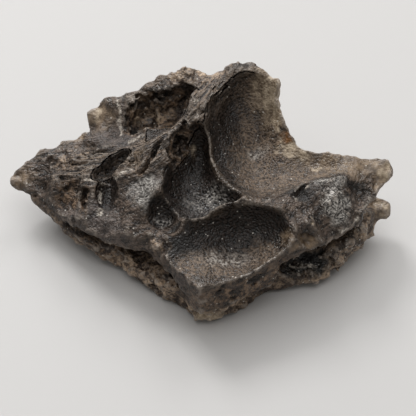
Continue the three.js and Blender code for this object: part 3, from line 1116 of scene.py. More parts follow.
@dataclass
class Vesicles:
    """Small round pits, scattered over the froth, the walls and the crust.

    Args:
        seed: Fixes where they lie.
        density: Pits on a square metre where the pit weight is 1.
        radius_low: Smallest radius, in metres.
        radius_high: Largest radius, in metres.
    """

    seed: int = 4
    density: float = 5.5e5
    radius_low: float = 0.00022
    radius_high: float = 0.00065

    def _tree(self) -> bpy.types.GeometryNodeTree:
        """Builds the tree: points on the surface, a small ball on each, then one mesh.

        Returns:
            The tree.
        """
        tree = bpy.data.node_groups.new("vesicle_scatter", "GeometryNodeTree")
        for name, side, kind in (
            ("Geometry", "INPUT", "Geometry"),
            ("Density", "INPUT", "Float"),
            ("Smallest Radius", "INPUT", "Float"),
            ("Largest Radius", "INPUT", "Float"),
            ("Seed", "INPUT", "Int"),
            ("Material", "INPUT", "Material"),
            ("Geometry", "OUTPUT", "Geometry"),
        ):
            tree.interface.new_socket(name, in_out=side, socket_type="NodeSocket" + kind)
        layout = NodeLayout(tree)
        given = layout.add("NodeGroupInput").outputs
        weight = layout.add("GeometryNodeInputNamedAttribute", {"Name": "pits"}, data_type="FLOAT")
        density = layout.add(
            "ShaderNodeMath", {0: given["Density"], 1: weight.outputs["Attribute"]}, operation="MULTIPLY"
        )
        scatter = layout.add(
            "GeometryNodeDistributePointsOnFaces",
            {"Mesh": given["Geometry"], "Density": density.outputs[0], "Seed": given["Seed"]},
        )
        # small pits are many and large ones few: the radius follows the cube of an even draw
        draw = layout.add("FunctionNodeRandomValue", {"Seed": given["Seed"]}, data_type="FLOAT")
        cube = layout.add("ShaderNodeMath", {0: draw.outputs[1], 1: 3.0}, operation="POWER")
        radius = layout.add(
            "ShaderNodeMapRange",
            {"Value": cube.outputs[0], "To Min": given["Smallest Radius"], "To Max": given["Largest Radius"]},
        )
        stretch = layout.add(
            "FunctionNodeRandomValue", {0: (0.75, 0.75, 0.75), 1: (1.35, 1.35, 1.1)}, data_type="FLOAT_VECTOR"
        )
        spread = {0: stretch.outputs[0], "Scale": radius.outputs["Result"]}
        size = layout.add("ShaderNodeVectorMath", spread, operation="SCALE")
        ball = layout.add("GeometryNodeMeshIcoSphere", {"Radius": 1.0, "Subdivisions": 2})
        place = layout.add(
            "GeometryNodeInstanceOnPoints",
            {
                "Points": scatter.outputs["Points"],
                "Rotation": scatter.outputs["Rotation"],
                "Instance": ball.outputs["Mesh"],
                "Scale": size.outputs[0],
            },
        )
        real = layout.add("GeometryNodeRealizeInstances", {"Geometry": place.outputs["Instances"]})
        dress = layout.add(
            "GeometryNodeSetMaterial", {"Geometry": real.outputs["Geometry"], "Material": given["Material"]}
        )
        layout.add("NodeGroupOutput", {"Geometry": dress.outputs["Geometry"]})
        return tree

    def scatter(self, ground: bpy.types.Object, material: bpy.types.Material) -> bpy.types.Mesh:
        """Scatters the pits' balls over a surface.

        Args:
            ground: The stone's surface, with a "pits" weight on its points.
            material: Finish that the balls are given.

        Returns:
            One plain mesh of all the balls, in metres.
        """
        tree = self._tree()
        modifier = ground.modifiers.new("vesicles", "NODES")
        modifier.node_group = tree
        values = {
            "Density": self.density,
            "Smallest Radius": self.radius_low,
            "Largest Radius": self.radius_high,
            "Seed": self.seed,
            "Material": material,
        }
        for item in tree.interface.items_tree:
            if item.in_out == "INPUT" and item.name in values:
                modifier[item.identifier] = values[item.name]
        depsgraph = bpy.context.evaluated_depsgraph_get()
        mesh = bpy.data.meshes.new_from_object(ground.evaluated_get(depsgraph))
        ground.modifiers.remove(modifier)
        return mesh

    def distance(self, mesh: bpy.types.Mesh, grid: Grid) -> Array:
        """Turns the balls into distances on the stone's grid, in millimetres.

        Args:
            mesh: All the balls, in metres.
            grid: The stone's grid.

        Returns:
            The distance from the balls at each sample.
        """
        mesh.calc_loop_triangles()
        points = np.zeros(len(mesh.vertices) * 3, np.float32)
        mesh.vertices.foreach_get("co", points)
        points = points.reshape(-1, 3) / MM
        triangles = np.zeros(len(mesh.loop_triangles) * 3, np.int32)
        mesh.loop_triangles.foreach_get("vertices", triangles)
        places = ((points - np.float32(grid.low)) / grid.step).astype(np.float32)
        transform = openvdb.createLinearTransform(voxelSize=1.0)
        balls = openvdb.FloatGrid.createLevelSetFromPolygons(
            places, triangles=triangles.reshape(-1, 3).astype(np.uint32), transform=transform, halfWidth=3.0
        )
        shape = tuple(len(grid.axis(k)) for k in range(3))
        distances = np.full(shape, 3.0, np.float32)
        balls.copyToArray(distances)
        return distances * grid.step


PIT_PATCHES: tuple[tuple[float, Patch], ...] = (
    (1.0, Patch((19.0, -10.5, 2.6), (9.5, 6.0, 3.2), turn=24)),
    (1.0, Patch((24.0, -5.8, 4.0), (3.0, 3.6, 2.4))),
    (0.9, Patch((-12.5, -11.5, 2.0), (11.0, 3.0, 2.4), turn=-32)),
    (1.0, Patch((3.0, -19.0, 2.2), (8.5, 3.6, 3.2), turn=12)),
    (0.35, Patch((4.0, -18.6, 7.4), (7.0, 3.0, 1.2), turn=12)),
    (0.30, Patch((-14.0, -8.0, 7.4), (9.0, 2.6, 2.4), turn=-30)),
    (0.45, Patch((-6.0, -13.8, 8.6), (2.4, 2.8, 3.0))),
    (0.40, Patch((-3.6, 12.6, 18.0), (5.5, 2.2, 1.6))),
    (0.35, Patch((-9.0, 10.0, 13.2), (5.0, 2.6, 2.2))),
    (0.30, Patch((-23.5, 4.4, 8.0), (5.0, 3.0, 1.6))),
)


class Stone:
    """The whole stone: its fine mesh, what its surface is like at each point, and its glass."""

    def __init__(self, step: float) -> None:
        """Prepares the stone.

        Args:
            step: Grid step, in millimetres.
        """
        self.grid = Grid(step)

    def _mesh(self, name: str, vertices: Array, faces: Faces) -> bpy.types.Mesh:
        """Makes a Blender mesh, in metres.

        Args:
            name: Its name.
            vertices: Places in millimetres.
            faces: The faces that join them.

        Returns:
            The mesh.
        """
        mesh = bpy.data.meshes.new(name)
        mesh.from_pydata(vertices * MM, [], faces)
        mesh.validate()
        return mesh

    def _main_body(self, vertices: Array, faces: Faces) -> tuple[Array, Faces]:
        """Drops loose crumbs, and keeps the largest connected body.

        Args:
            vertices: Places in millimetres.
            faces: The faces that join them.

        Returns:
            The vertices and faces of that body.
        """
        parent = np.arange(len(vertices))
        edges = edges_of(faces)
        while True:
            low = np.minimum(parent[edges[:, 0]], parent[edges[:, 1]])
            new = parent.copy()
            np.minimum.at(new, edges[:, 0], low)
            np.minimum.at(new, edges[:, 1], low)
            new = new[new]
            if (new == parent).all():
                break
            parent = new
        labels, counts = np.unique(parent, return_counts=True)
        keep = parent == labels[counts.argmax()]
        index = np.cumsum(keep) - 1
        kept = [[int(index[v]) for v in face] for face in faces if keep[face[0]]]
        return vertices[keep], kept

    def _polish(self, vertices: Array, faces: Faces, smooth: Array) -> Array:
        """Evens out the smooth bubbles' walls.

        Args:
            vertices: Places in millimetres.
            faces: The faces that join them.
            smooth: How smooth the wall is at each vertex, from 0 to 1.

        Returns:
            The vertices' new places.
        """
        edges = edges_of(faces)
        count = np.bincount(edges.ravel(), minlength=len(vertices))[:, None]
        for _ in range(4):
            total = np.stack(
                [
                    np.bincount(edges[:, 0], vertices[edges[:, 1], k], len(vertices))
                    + np.bincount(edges[:, 1], vertices[edges[:, 0], k], len(vertices))
                    for k in range(3)
                ],
                axis=1,
            )
            vertices = vertices + 0.6 * smooth[:, None] * (total / count - vertices)
        return vertices

    def _pit_weights(self, points: Array) -> Array:
        """How thickly pits lie at each point.

        Args:
            points: Places in millimetres, of shape (n, 3).

        Returns:
            One weight for each point.
        """
        weights = np.zeros(len(points), np.float32)
        for share, patch in PIT_PATCHES:
            weights = np.maximum(weights, share * patch.weight(points))
        return weights

    def _traits(self, shape: StoneField, mesh: bpy.types.Mesh, points: Array) -> None:
        """Stores on each point how thin, sharp-edged, hollow, glossy and frothy the glass is there, and where
        painted shade, sheen, glints and highlights go.

        Args:
            shape: The stone's field.
            mesh: The finished mesh.
            points: Its vertices, in millimetres.
        """
        filled = (shape.body < 0).astype(np.float32)
        walls = shape.bubble_walls
        smooth = self.grid.sample(walls[Wall.SMOOTH], points)
        ragged = self.grid.sample(walls[Wall.RAGGED], points)
        traits = {
            "thin": self.grid.sample(self.grid.blur(filled, 1.5), points),
            "edge": self.grid.sample(self.grid.blur(filled, 0.35), points),
            "hollow": self.grid.sample(self.grid.blur(filled, 3.0), points),
            "cavity": self.grid.sample(self.grid.blur(filled, 0.6), points),
            "bubble": 1.0 - smoothstep(np.abs(smooth), 0.05, 0.30),
            "ragged": 1.0 - smoothstep(np.abs(ragged), 0.10, 0.60),
            "froth": smoothstep(self.grid.sample(shape.froth, points), -0.3, 0.5),
            "mound": shape.mounds(points),
        }
        stray = [
            0.9 * shape.noise.at(points + shift, (1.6, 1.6, 1.6), octaves=3)
            for shift in (5.0, 25.0, 45.0)
        ]
        strayed = points + np.stack(stray, axis=1)
        for name, patches in COLOUR_PATCHES.items():
            traits[name] = total_weight(patches, strayed)
        for name, kind in (("streaky", Texture.STRIATED), ("crackled", Texture.CRACKLED)):
            traits[name] = total_weight(TEXTURES[kind], points)
        wavering = points + 0.3 * np.stack(stray, axis=1)
        for name, veins in VEINS.items():
            traits[name] = total_weight(veins, wavering)
        for name, values in traits.items():
            layer = mesh.attributes.new(name, "FLOAT", "POINT")
            layer.data.foreach_set("value", values.astype(np.float32))
        flow = mesh.attributes.new("flow", "FLOAT_VECTOR", "POINT")
        flow.data.foreach_set("vector", (shape.flow.places(points) * MM).ravel())

    def build(self, material: bpy.types.Material) -> bpy.types.Object:
        """Makes the finished stone.

        Args:
            material: The glass.

        Returns:
            The stone's object, at the origin.
        """
        shape = StoneField(self.grid)
        vertices, faces = shape.surface()
        ground = put("ground", self._mesh("ground", vertices, faces))
        pits = ground.data.attributes.new("pits", "FLOAT", "POINT")
        pits.data.foreach_set("value", self._pit_weights(vertices))
        vesicles = Vesicles()
        balls = vesicles.scatter(ground, material)
        LOG.info("vesicles: %d balls", len(balls.vertices) // BALL_POINTS)
        shape.open_vesicles(vesicles.distance(balls, self.grid))
        bpy.data.objects.remove(ground)
        low, high = (np.array(corner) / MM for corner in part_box(STONE_NODE))
        shape.rest(low + CLEARANCE, high - CLEARANCE)
        vertices, faces = self._main_body(*shape.surface())
        walls = np.abs(self.grid.sample(shape.bubble_walls[Wall.SMOOTH], vertices))
        vertices = self._polish(vertices, faces, 1.0 - smoothstep(walls, 0.15, 0.45))
        mesh = self._mesh("darwin_glass_stone", vertices, faces)
        self._traits(shape, mesh, vertices)
        mesh.materials.append(material)
        mesh.shade_smooth()
        stone = put("darwin_glass_stone", mesh)
        LOG.info("stone: %d triangles", sum(len(f) - 2 for f in faces))
        return stone


COLOUR_PATCHES: dict[str, tuple[Patch, ...]] = {
    # tan, light let through
    "tan": (
        Patch((9.8, 9.4, 17.2), (3.4, 6.0, 5.0), turn=12),
        Patch((20.5, 1.4, 12.4), (9.5, 2.9, 2.4)),
        Patch((25.8, -0.4, 10.4), (2.0, 3.0, 2.6)),
        Patch((11.9, -12.4, 10.4), (1.3, 1.9, 2.0), soft=0.9),
        Patch((-9.0, 11.4, 11.6), (3.8, 1.4, 1.6), soft=0.8),
        Patch((-5.9, 11.5, 12.4), (1.6, 1.0, 1.0), soft=0.8),
        Patch((-4.0, 3.8, 13.2), (1.2, 1.5, 1.4), soft=0.8),
        Patch((-10.8, 1.4, 13.8), (1.5, 2.2, 1.4), turn=-40, soft=0.8),
        Patch((14.4, -11.6, 9.5), (2.0, 1.3, 1.4), turn=20),
        Patch((-20.0, 9.2, 9.4), (3.0, 1.4, 2.0)),
        Patch((-16.4, 11.6, 12.0), (4.0, 3.0, 2.8), soft=0.8),
        Patch((-28.6, 3.4, 6.6), (2.8, 2.4, 1.8), soft=0.9),
        Patch((26.4, -1.6, 4.8), (2.4, 2.4, 2.0)),
        Patch((0.6, -19.8, 2.2), (2.8, 1.8, 2.2)),
    ),
    # pale tan, where the glass is thinnest: a painted glow of light let through, and a few painted glints on
    # small rims
    "pale": (
        Patch((-10.4, 11.7, 11.5), (1.3, 1.0, 1.0), soft=0.9),
        Patch((-8.0, 11.5, 11.6), (1.6, 1.0, 1.0), soft=0.9),
        Patch((-3.2, 3.6, 12.9), (1.6, 1.2, 1.2), soft=0.9),
        Patch((9.8, 10.4, 17.6), (3.0, 5.2, 4.2), turn=10, soft=0.8),
        Patch((10.4, 8.2, 15.4), (1.4, 2.8, 2.6), turn=-10),
        Patch((13.0, 3.9, 12.8), (2.8, 1.6, 1.6)),
        Patch((-17.4, 12.0, 12.2), (1.3, 1.3, 1.5), soft=0.8),
        Patch((0.4, -19.4, 1.4), (3.2, 1.8, 1.4)),
        Patch((26.4, 0.6, 11.0), (1.2, 1.6, 2.0)),
        Patch((16.2, 1.3, 11.4), (0.9, 0.5, 0.9), soft=0.3),
        Patch((14.9, -9.9, 11.9), (0.6, 0.45, 0.8), soft=0.3),
        Patch((26.6, -1.4, 5.2), (1.6, 1.6, 1.2), soft=0.9),
    ),
    # a dry film over smooth glass
    "film": (
        Patch((8.6, 1.6, 12.0), (5.6, 8.6, 5.4), turn=8),
        Patch((6.4, 7.8, 12.4), (2.0, 4.2, 2.6), soft=0.8),
        Patch((13.6, -1.0, 11.6), (5.0, 3.4, 2.4)),
        Patch((1.6, -15.4, 9.0), (9.5, 3.4, 1.8), turn=12),
        Patch((7.4, -13.0, 8.8), (3.4, 2.4, 1.6), turn=12),
        Patch((8.2, 11.5, 17.0), (4.2, 4.4, 4.8)),
    ),
    # grey, dry and dusty
    "ash": (
        Patch((-8.6, -4.4, 13.0), (3.4, 3.0, 3.0)),
        Patch((-16.0, -6.0, 7.4), (8.5, 3.6, 3.0), turn=-30),
        Patch((-14.5, 8.5, 12.6), (4.6, 4.6, 3.6), turn=20),
        Patch((-4.5, -17.0, 7.0), (2.0, 3.4, 3.0), turn=-40),
    ),
    # cream and brown, of lumps with dark gaps
    "crust": (
        Patch((-2.5, 14.6, 18.6), (6.5, 2.6, 2.2)),
        Patch((1.5, 15.0, 19.2), (3.5, 1.4, 1.4), soft=0.8),
        Patch((-20.5, 5.0, 9.6), (3.0, 1.6, 1.6), turn=24, soft=0.9),
        Patch((20.0, -9.0, 3.0), (9.0, 5.0, 2.6), turn=28),
        Patch((24.4, -5.0, 4.6), (4.0, 5.5, 2.8)),
        Patch((-7.2, -12.2, 9.8), (1.8, 1.4, 1.6), soft=0.8),
        Patch((-9.6, -12.6, 2.4), (8.0, 2.6, 1.8), turn=-36),
        Patch((-8.6, 11.6, 12.2), (3.8, 1.8, 1.8), soft=0.8),
        Patch((2.0, -18.9, 2.6), (8.0, 3.0, 2.0), turn=12),
    ),
    # brown and earthy
    "earth": (
        Patch((-12.5, -11.5, 1.8), (11.0, 3.4, 2.4), turn=-32),
        Patch((-7.6, 10.6, 13.5), (5.5, 3.0, 3.4)),
        Patch((-20.5, -1.6, 7.8), (2.6, 2.2, 2.0)),
        Patch((5.5, -16.8, 6.2), (10.0, 2.8, 3.2), turn=26),
        Patch((20.4, -3.6, 12.4), (2.4, 0.8, 1.2)),
        Patch((-4.4, 3.0, 15.5), (1.6, 3.6, 3.0), turn=-20),
        Patch((-4.6, -13.4, 9.8), (2.2, 3.0, 2.0), soft=0.8),
    ),
    # black and glossy: the cave's glass, made black as painted shade
    "gloss_and_painted_shade": (
        Patch((14.6, -11.6, 3.8), (4.6, 2.6, 2.0), turn=18),
    ),
    # dark and dull: mostly painted shade, under the brow and the cap's edge, in pits and in the far hollow's
    # corners; elsewhere darker glass
    "shade": (
        Patch((14.0, -5.0, 12.6), (2.7, 1.9, 2.0), turn=10, soft=0.6),
        Patch((14.2, -10.4, 4.4), (3.6, 1.6, 1.3), soft=0.6),
        Patch((-4.0, -13.0, 10.2), (3.2, 2.6, 1.8), soft=0.9),
        Patch((-4.6, -9.8, 10.8), (1.6, 1.4, 1.2), soft=0.8),
        Patch((20.6, -8.4, 5.4), (3.8, 1.0, 1.4), turn=44, soft=0.9),
        Patch((6.6, -17.4, 7.4), (0.9, 0.6, 0.5)),
        Patch((2.2, -19.5, 8.0), (0.7, 0.6, 0.8)),
        Patch((-11.4, 12.2, 14.2), (1.8, 1.0, 1.2), soft=0.8),
        Patch((-11.4, 9.6, 11.2), (1.6, 1.1, 0.9), soft=0.8),
        Patch((-8.0, 12.8, 14.6), (2.6, 1.0, 1.0), turn=10, soft=0.9),
        Patch((-4.6, 12.6, 16.2), (3.0, 0.9, 1.0), turn=6, soft=0.8),
        Patch((11.4, 6.2, 14.3), (0.9, 0.9, 0.7), soft=0.6),
        Patch((22.6, -2.4, 11.0), (1.3, 0.7, 0.8), soft=0.6),
        Patch((4.6, 14.4, 19.4), (2.4, 1.2, 1.0), soft=0.8),
    ),
    # a pale, frosted skin
    "frost": (Patch((18.8, -6.6, 12.0), (2.2, 3.4, 3.0), turn=24, soft=0.4),),
    # pale grey and speckled; the patch beside the left bowl also stands in for a grey sheen off its convex
    # glass, as painted reflection
    "chalk_and_sheen": (
        Patch((-9.2, -5.2, 13.2), (2.8, 2.8, 2.4), soft=0.4),
        Patch((-0.9, 4.6, 17.2), (0.6, 0.8, 1.0)),
        Patch((18.4, -2.8, 13.2), (2.8, 1.2, 1.4)),
    ),
    # painted sheen: pale grainy highlights on the bubbles' floors and in the eye
    "painted_sheen": (
        Patch((2.6, -14.2, 8.5), (4.2, 1.9, 1.4), turn=10, soft=0.8),
        Patch((-6.7, -8.5, 9.7), (1.3, 0.8, 0.9), soft=0.7),
        Patch((1.3, -4.2, 11.0), (2.8, 1.8, 1.8), soft=0.9),
        Patch((-1.0, -4.6, 9.6), (2.2, 1.5, 1.2), soft=1.0),
        Patch((7.4, 4.2, 11.2), (1.6, 1.4, 1.4), soft=0.9),
    ),
    # painted glints: bright specks
    "glint": (
        Patch((13.8, -11.4, 3.4), (3.4, 1.2, 1.4), turn=4, soft=0.9),
        Patch((9.6, -12.4, 10.0), (1.6, 1.6, 1.6), soft=0.9),
        Patch((17.0, -9.8, 10.6), (2.6, 1.6, 1.6), soft=0.9),
        Patch((22.0, -7.4, 4.4), (5.0, 3.4, 2.6), turn=50, soft=0.7),
        Patch((1.5, -5.5, 10.8), (2.5, 2.0, 1.6), soft=0.9),
        Patch((-10.8, 12.2, 14.0), (2.4, 1.0, 1.6), soft=0.9),
    ),
    # amber
    "amber": (Patch((11.8, 5.2, 13.8), (1.2, 0.8, 1.0), soft=0.9),),
}


VEINS: dict[str, tuple[Vein, ...]] = {
    # painted highlights: bright lines along crisp edges, some of them worn, along lit ridge lines, down the
    # flute and across the cave
    "light_line": (
        Vein(((24.6, -2.4, 10.0), (23.3, -4.6, 9.5), (21.5, -7.6, 9.3), (19.4, -9.5, 9.2)), 0.40),
        Vein(((12.8, -6.5, 13.0), (13.6, -5.3, 13.1), (14.6, -3.8, 13.0)), 0.35),
        Vein(((12.0, -11.5, 3.2), (13.4, -11.2, 3.4), (14.6, -11.1, 3.4), (15.8, -11.3, 3.5)), 0.40),
        Vein(((-19.1, 0.4, 10.1), (-17.2, -1.0, 10.9), (-15.3, -0.9, 10.1), (-13.4, -1.9, 12.7)), 0.35),
        Vein(((-13.4, -1.9, 12.7), (-11.8, -1.2, 13.5), (-9.7, -0.5, 14.3)), 0.35),
        Vein(((-11.8, 5.2, 12.8), (-10.2, 6.4, 13.0), (-6.9, 7.6, 15.4), (-1.6, 8.2, 18.5)), 0.45),
        Vein(((-13.7, 12.7, 14.2), (-13.2, 10.7, 13.6), (-13.5, 9.6, 12.0), (-13.1, 7.4, 12.1)), 0.40),
        Vein(((-16.0, -2.2, 9.4), (-15.9, -3.6, 9.2)), 0.45),
        Vein(((-15.9, -5.2, 8.8), (-15.9, -5.5, 8.7)), 0.60),
    ),
    # painted shadow: dark lines under the cap's edge and the far hollow's brow, and in shaded folds
    "painted_shadow_line": (
        Vein(((-8.8, 12.7, 16.3), (-7.2, 12.3, 17.0), (-5.0, 12.3, 17.2), (-2.6, 11.2, 18.0)), 0.75),
        Vein(((-12.6, 12.4, 14.4), (-12.4, 10.6, 13.4), (-12.6, 8.4, 12.0)), 0.45),
        Vein(((-11.2, 9.4, 11.2), (-10.0, 9.4, 10.8)), 0.80),
        Vein(((25.2, -2.6, 7.4), (23.6, -4.8, 7.4), (21.8, -7.8, 7.2), (19.8, -9.8, 7.0)), 1.0),
    ),
}


# ---------------------------------------------------------------- finishes


class NodeSheet(NodeLayout):
    """Short ways to lay out a material's nodes."""

    def __init__(self, name: str) -> None:
        """Starts an empty material with a shader and an output.

        Args:
            name: The material's name.
        """
        self.material = bpy.data.materials.new(name)
        self.material.use_nodes = True
        super().__init__(self.material.node_tree)
        self.tree.nodes.clear()
        self.shader = self.add("ShaderNodeBsdfPrincipled")
        self.add("ShaderNodeOutputMaterial", {"Surface": self.shader.outputs["BSDF"]})
        self.place = self.add("ShaderNodeTexCoord").outputs["Object"]

    def finish(self, name: str, value: Socket) -> None:
        """Feeds one of the shader's inputs."""
        self.tree.links.new(value, self.shader.inputs[name])

    def trait(self, name: str) -> Socket:
        """Reads one of the mesh's point attributes."""
        return self.add("ShaderNodeAttribute", attribute_name=name).outputs["Fac"]

    def noise(
        self, wave: float, detail: float = 3.0, roughness: float = 0.55, place: Socket | None = None
    ) -> Socket:
        """Noise on the stone's own coordinates, or on others.

        Args:
            wave: Wavelength, in millimetres.
            detail: Octaves.
            roughness: Strength of the fine octaves.
            place: Other coordinates.

        Returns:
            The noise, 0 to 1.
        """
        inputs = {"Scale": 1.0 / (wave * MM), "Detail": detail, "Roughness": roughness}
        inputs["Vector"] = self.place if place is None else place
        return self.add("ShaderNodeTexNoise", inputs).outputs["Fac"]

    def streaks(self, wave: float, detail: float, roughness: float) -> Socket:
        """Noise drawn out along the melt's flow.

        Args:
            wave: Wavelength across the flow, in millimetres.
            detail: Octaves.
            roughness: Strength of the fine octaves.

        Returns:
            The noise, 0 to 1.
        """
        flow = self.add("ShaderNodeAttribute", attribute_name="flow").outputs["Vector"]
        drawn = self.add("ShaderNodeVectorMath", {0: flow, 1: (0.11, 1.0, 0.9)}, operation="MULTIPLY")
        return self.noise(wave, detail, roughness, drawn.outputs["Vector"])

    def cells(self, wave: float) -> Socket:
        """Distance to the nearest of scattered points, on the stone's own coordinates."""
        inputs = {"Scale": 1.0 / (wave * MM), "Vector": self.place}
        return self.add("ShaderNodeTexVoronoi", inputs).outputs["Distance"]

    def cracks(self, wave: float) -> Socket:
        """Cracks between bent cells, on the stone's own coordinates.

        Args:
            wave: Size of the cells, in millimetres.

        Returns:
            Distance to the nearest crack.
        """
        inputs = {"Scale": 1.0 / (0.9 * wave * MM), "Vector": self.place}
        sway = self.add("ShaderNodeTexNoise", inputs).outputs["Color"]
        inputs = {0: sway, 1: (2.6 * wave * MM,) * 3, 2: self.place}
        bent = self.add("ShaderNodeVectorMath", inputs, operation="MULTIPLY_ADD").outputs["Vector"]
        inputs = {"Scale": 1.0 / (wave * MM), "Vector": bent}
        return self.add("ShaderNodeTexVoronoi", inputs, feature="DISTANCE_TO_EDGE").outputs["Distance"]

    def remap(
        self, value: Socket, low: float, high: float, to_low: float = 0.0, to_high: float = 1.0
    ) -> Socket:
        """Maps low..high to to_low..to_high, and holds it there."""
        inputs = {"Value": value, "From Min": low, "From Max": high, "To Min": to_low, "To Max": to_high}
        return self.add("ShaderNodeMapRange", inputs, interpolation_type="SMOOTHSTEP").outputs["Result"]

    def math(self, operation: str, a: Socket | float, b: Socket | float) -> Socket:
        """One sum, kept between 0 and 1."""
        return self.add("ShaderNodeMath", {0: a, 1: b}, operation=operation, use_clamp=True).outputs[0]

    def times(self, a: Socket | float, b: Socket | float) -> Socket:
        """A product, kept between 0 and 1."""
        return self.math("MULTIPLY", a, b)

    def blend(self, *parts: tuple[Socket, float]) -> Socket:
        """Adds up values, each times its own share.

        Args:
            *parts: The values and their shares.

        Returns:
            The sum.
        """
        total = 0.0
        for value, share in parts:
            inputs = {0: value, 1: share, 2: total}
            total = self.add("ShaderNodeMath", inputs, operation="MULTIPLY_ADD").outputs[0]
        return total

    def mix(self, share: Socket, a: Socket | Point, b: Socket | Point) -> Socket:
        """Mixes two colours."""
        ends = [(*end, 1.0) if isinstance(end, tuple) else end for end in (a, b)]
        inputs = {"Factor": share, 6: ends[0], 7: ends[1]}
        return self.add("ShaderNodeMix", inputs, data_type="RGBA").outputs[2]

    def tone(self, share: Socket, tone: "Tone") -> Socket:
        """A colour between a tone's dark and light ends."""
        return self.mix(share, tone.dark, tone.light)

    def bump(self, height: Socket, depth: float, below: Socket | None = None) -> Socket:
        """Adds a relief too fine for the mesh.

        Args:
            height: Height, 0 to 1.
            depth: What a height of 1 stands for, in millimetres.
            below: A coarser relief that this one is laid on.

        Returns:
            The surface's direction.
        """
        inputs = {"Distance": depth * MM, "Strength": 1.0, "Height": height}
        if below is not None:
            inputs["Normal"] = below
        return self.add("ShaderNodeBump", inputs).outputs["Normal"]


class GlassSheet(NodeSheet):
    """A sheet with the glass's grains, from fine to coarse, and its streaks."""

    def __init__(self, name: str) -> None:
        """Starts the material, and lays out the grains that its layers share.

        Args:
            name: The material's name.
        """
        super().__init__(name)
        self.speck = self.noise(0.34, 1.0, 0.50)
        self.fine = self.noise(0.62, 2.0, 0.60)
        self.mottle = self.noise(1.3, 3.0, 0.65)
        self.rough = self.blend((self.mottle, 0.40), (self.fine, 0.32), (self.speck, 0.28))
        self.streak = self.streaks(0.50, 3.0, 0.60)


@dataclass(frozen=True)
class Tone:
    """A finish's range of colour.

    Args:
        dark: Its darkest colour.
        light: Its lightest colour.
    """

    dark: Point
    light: Point


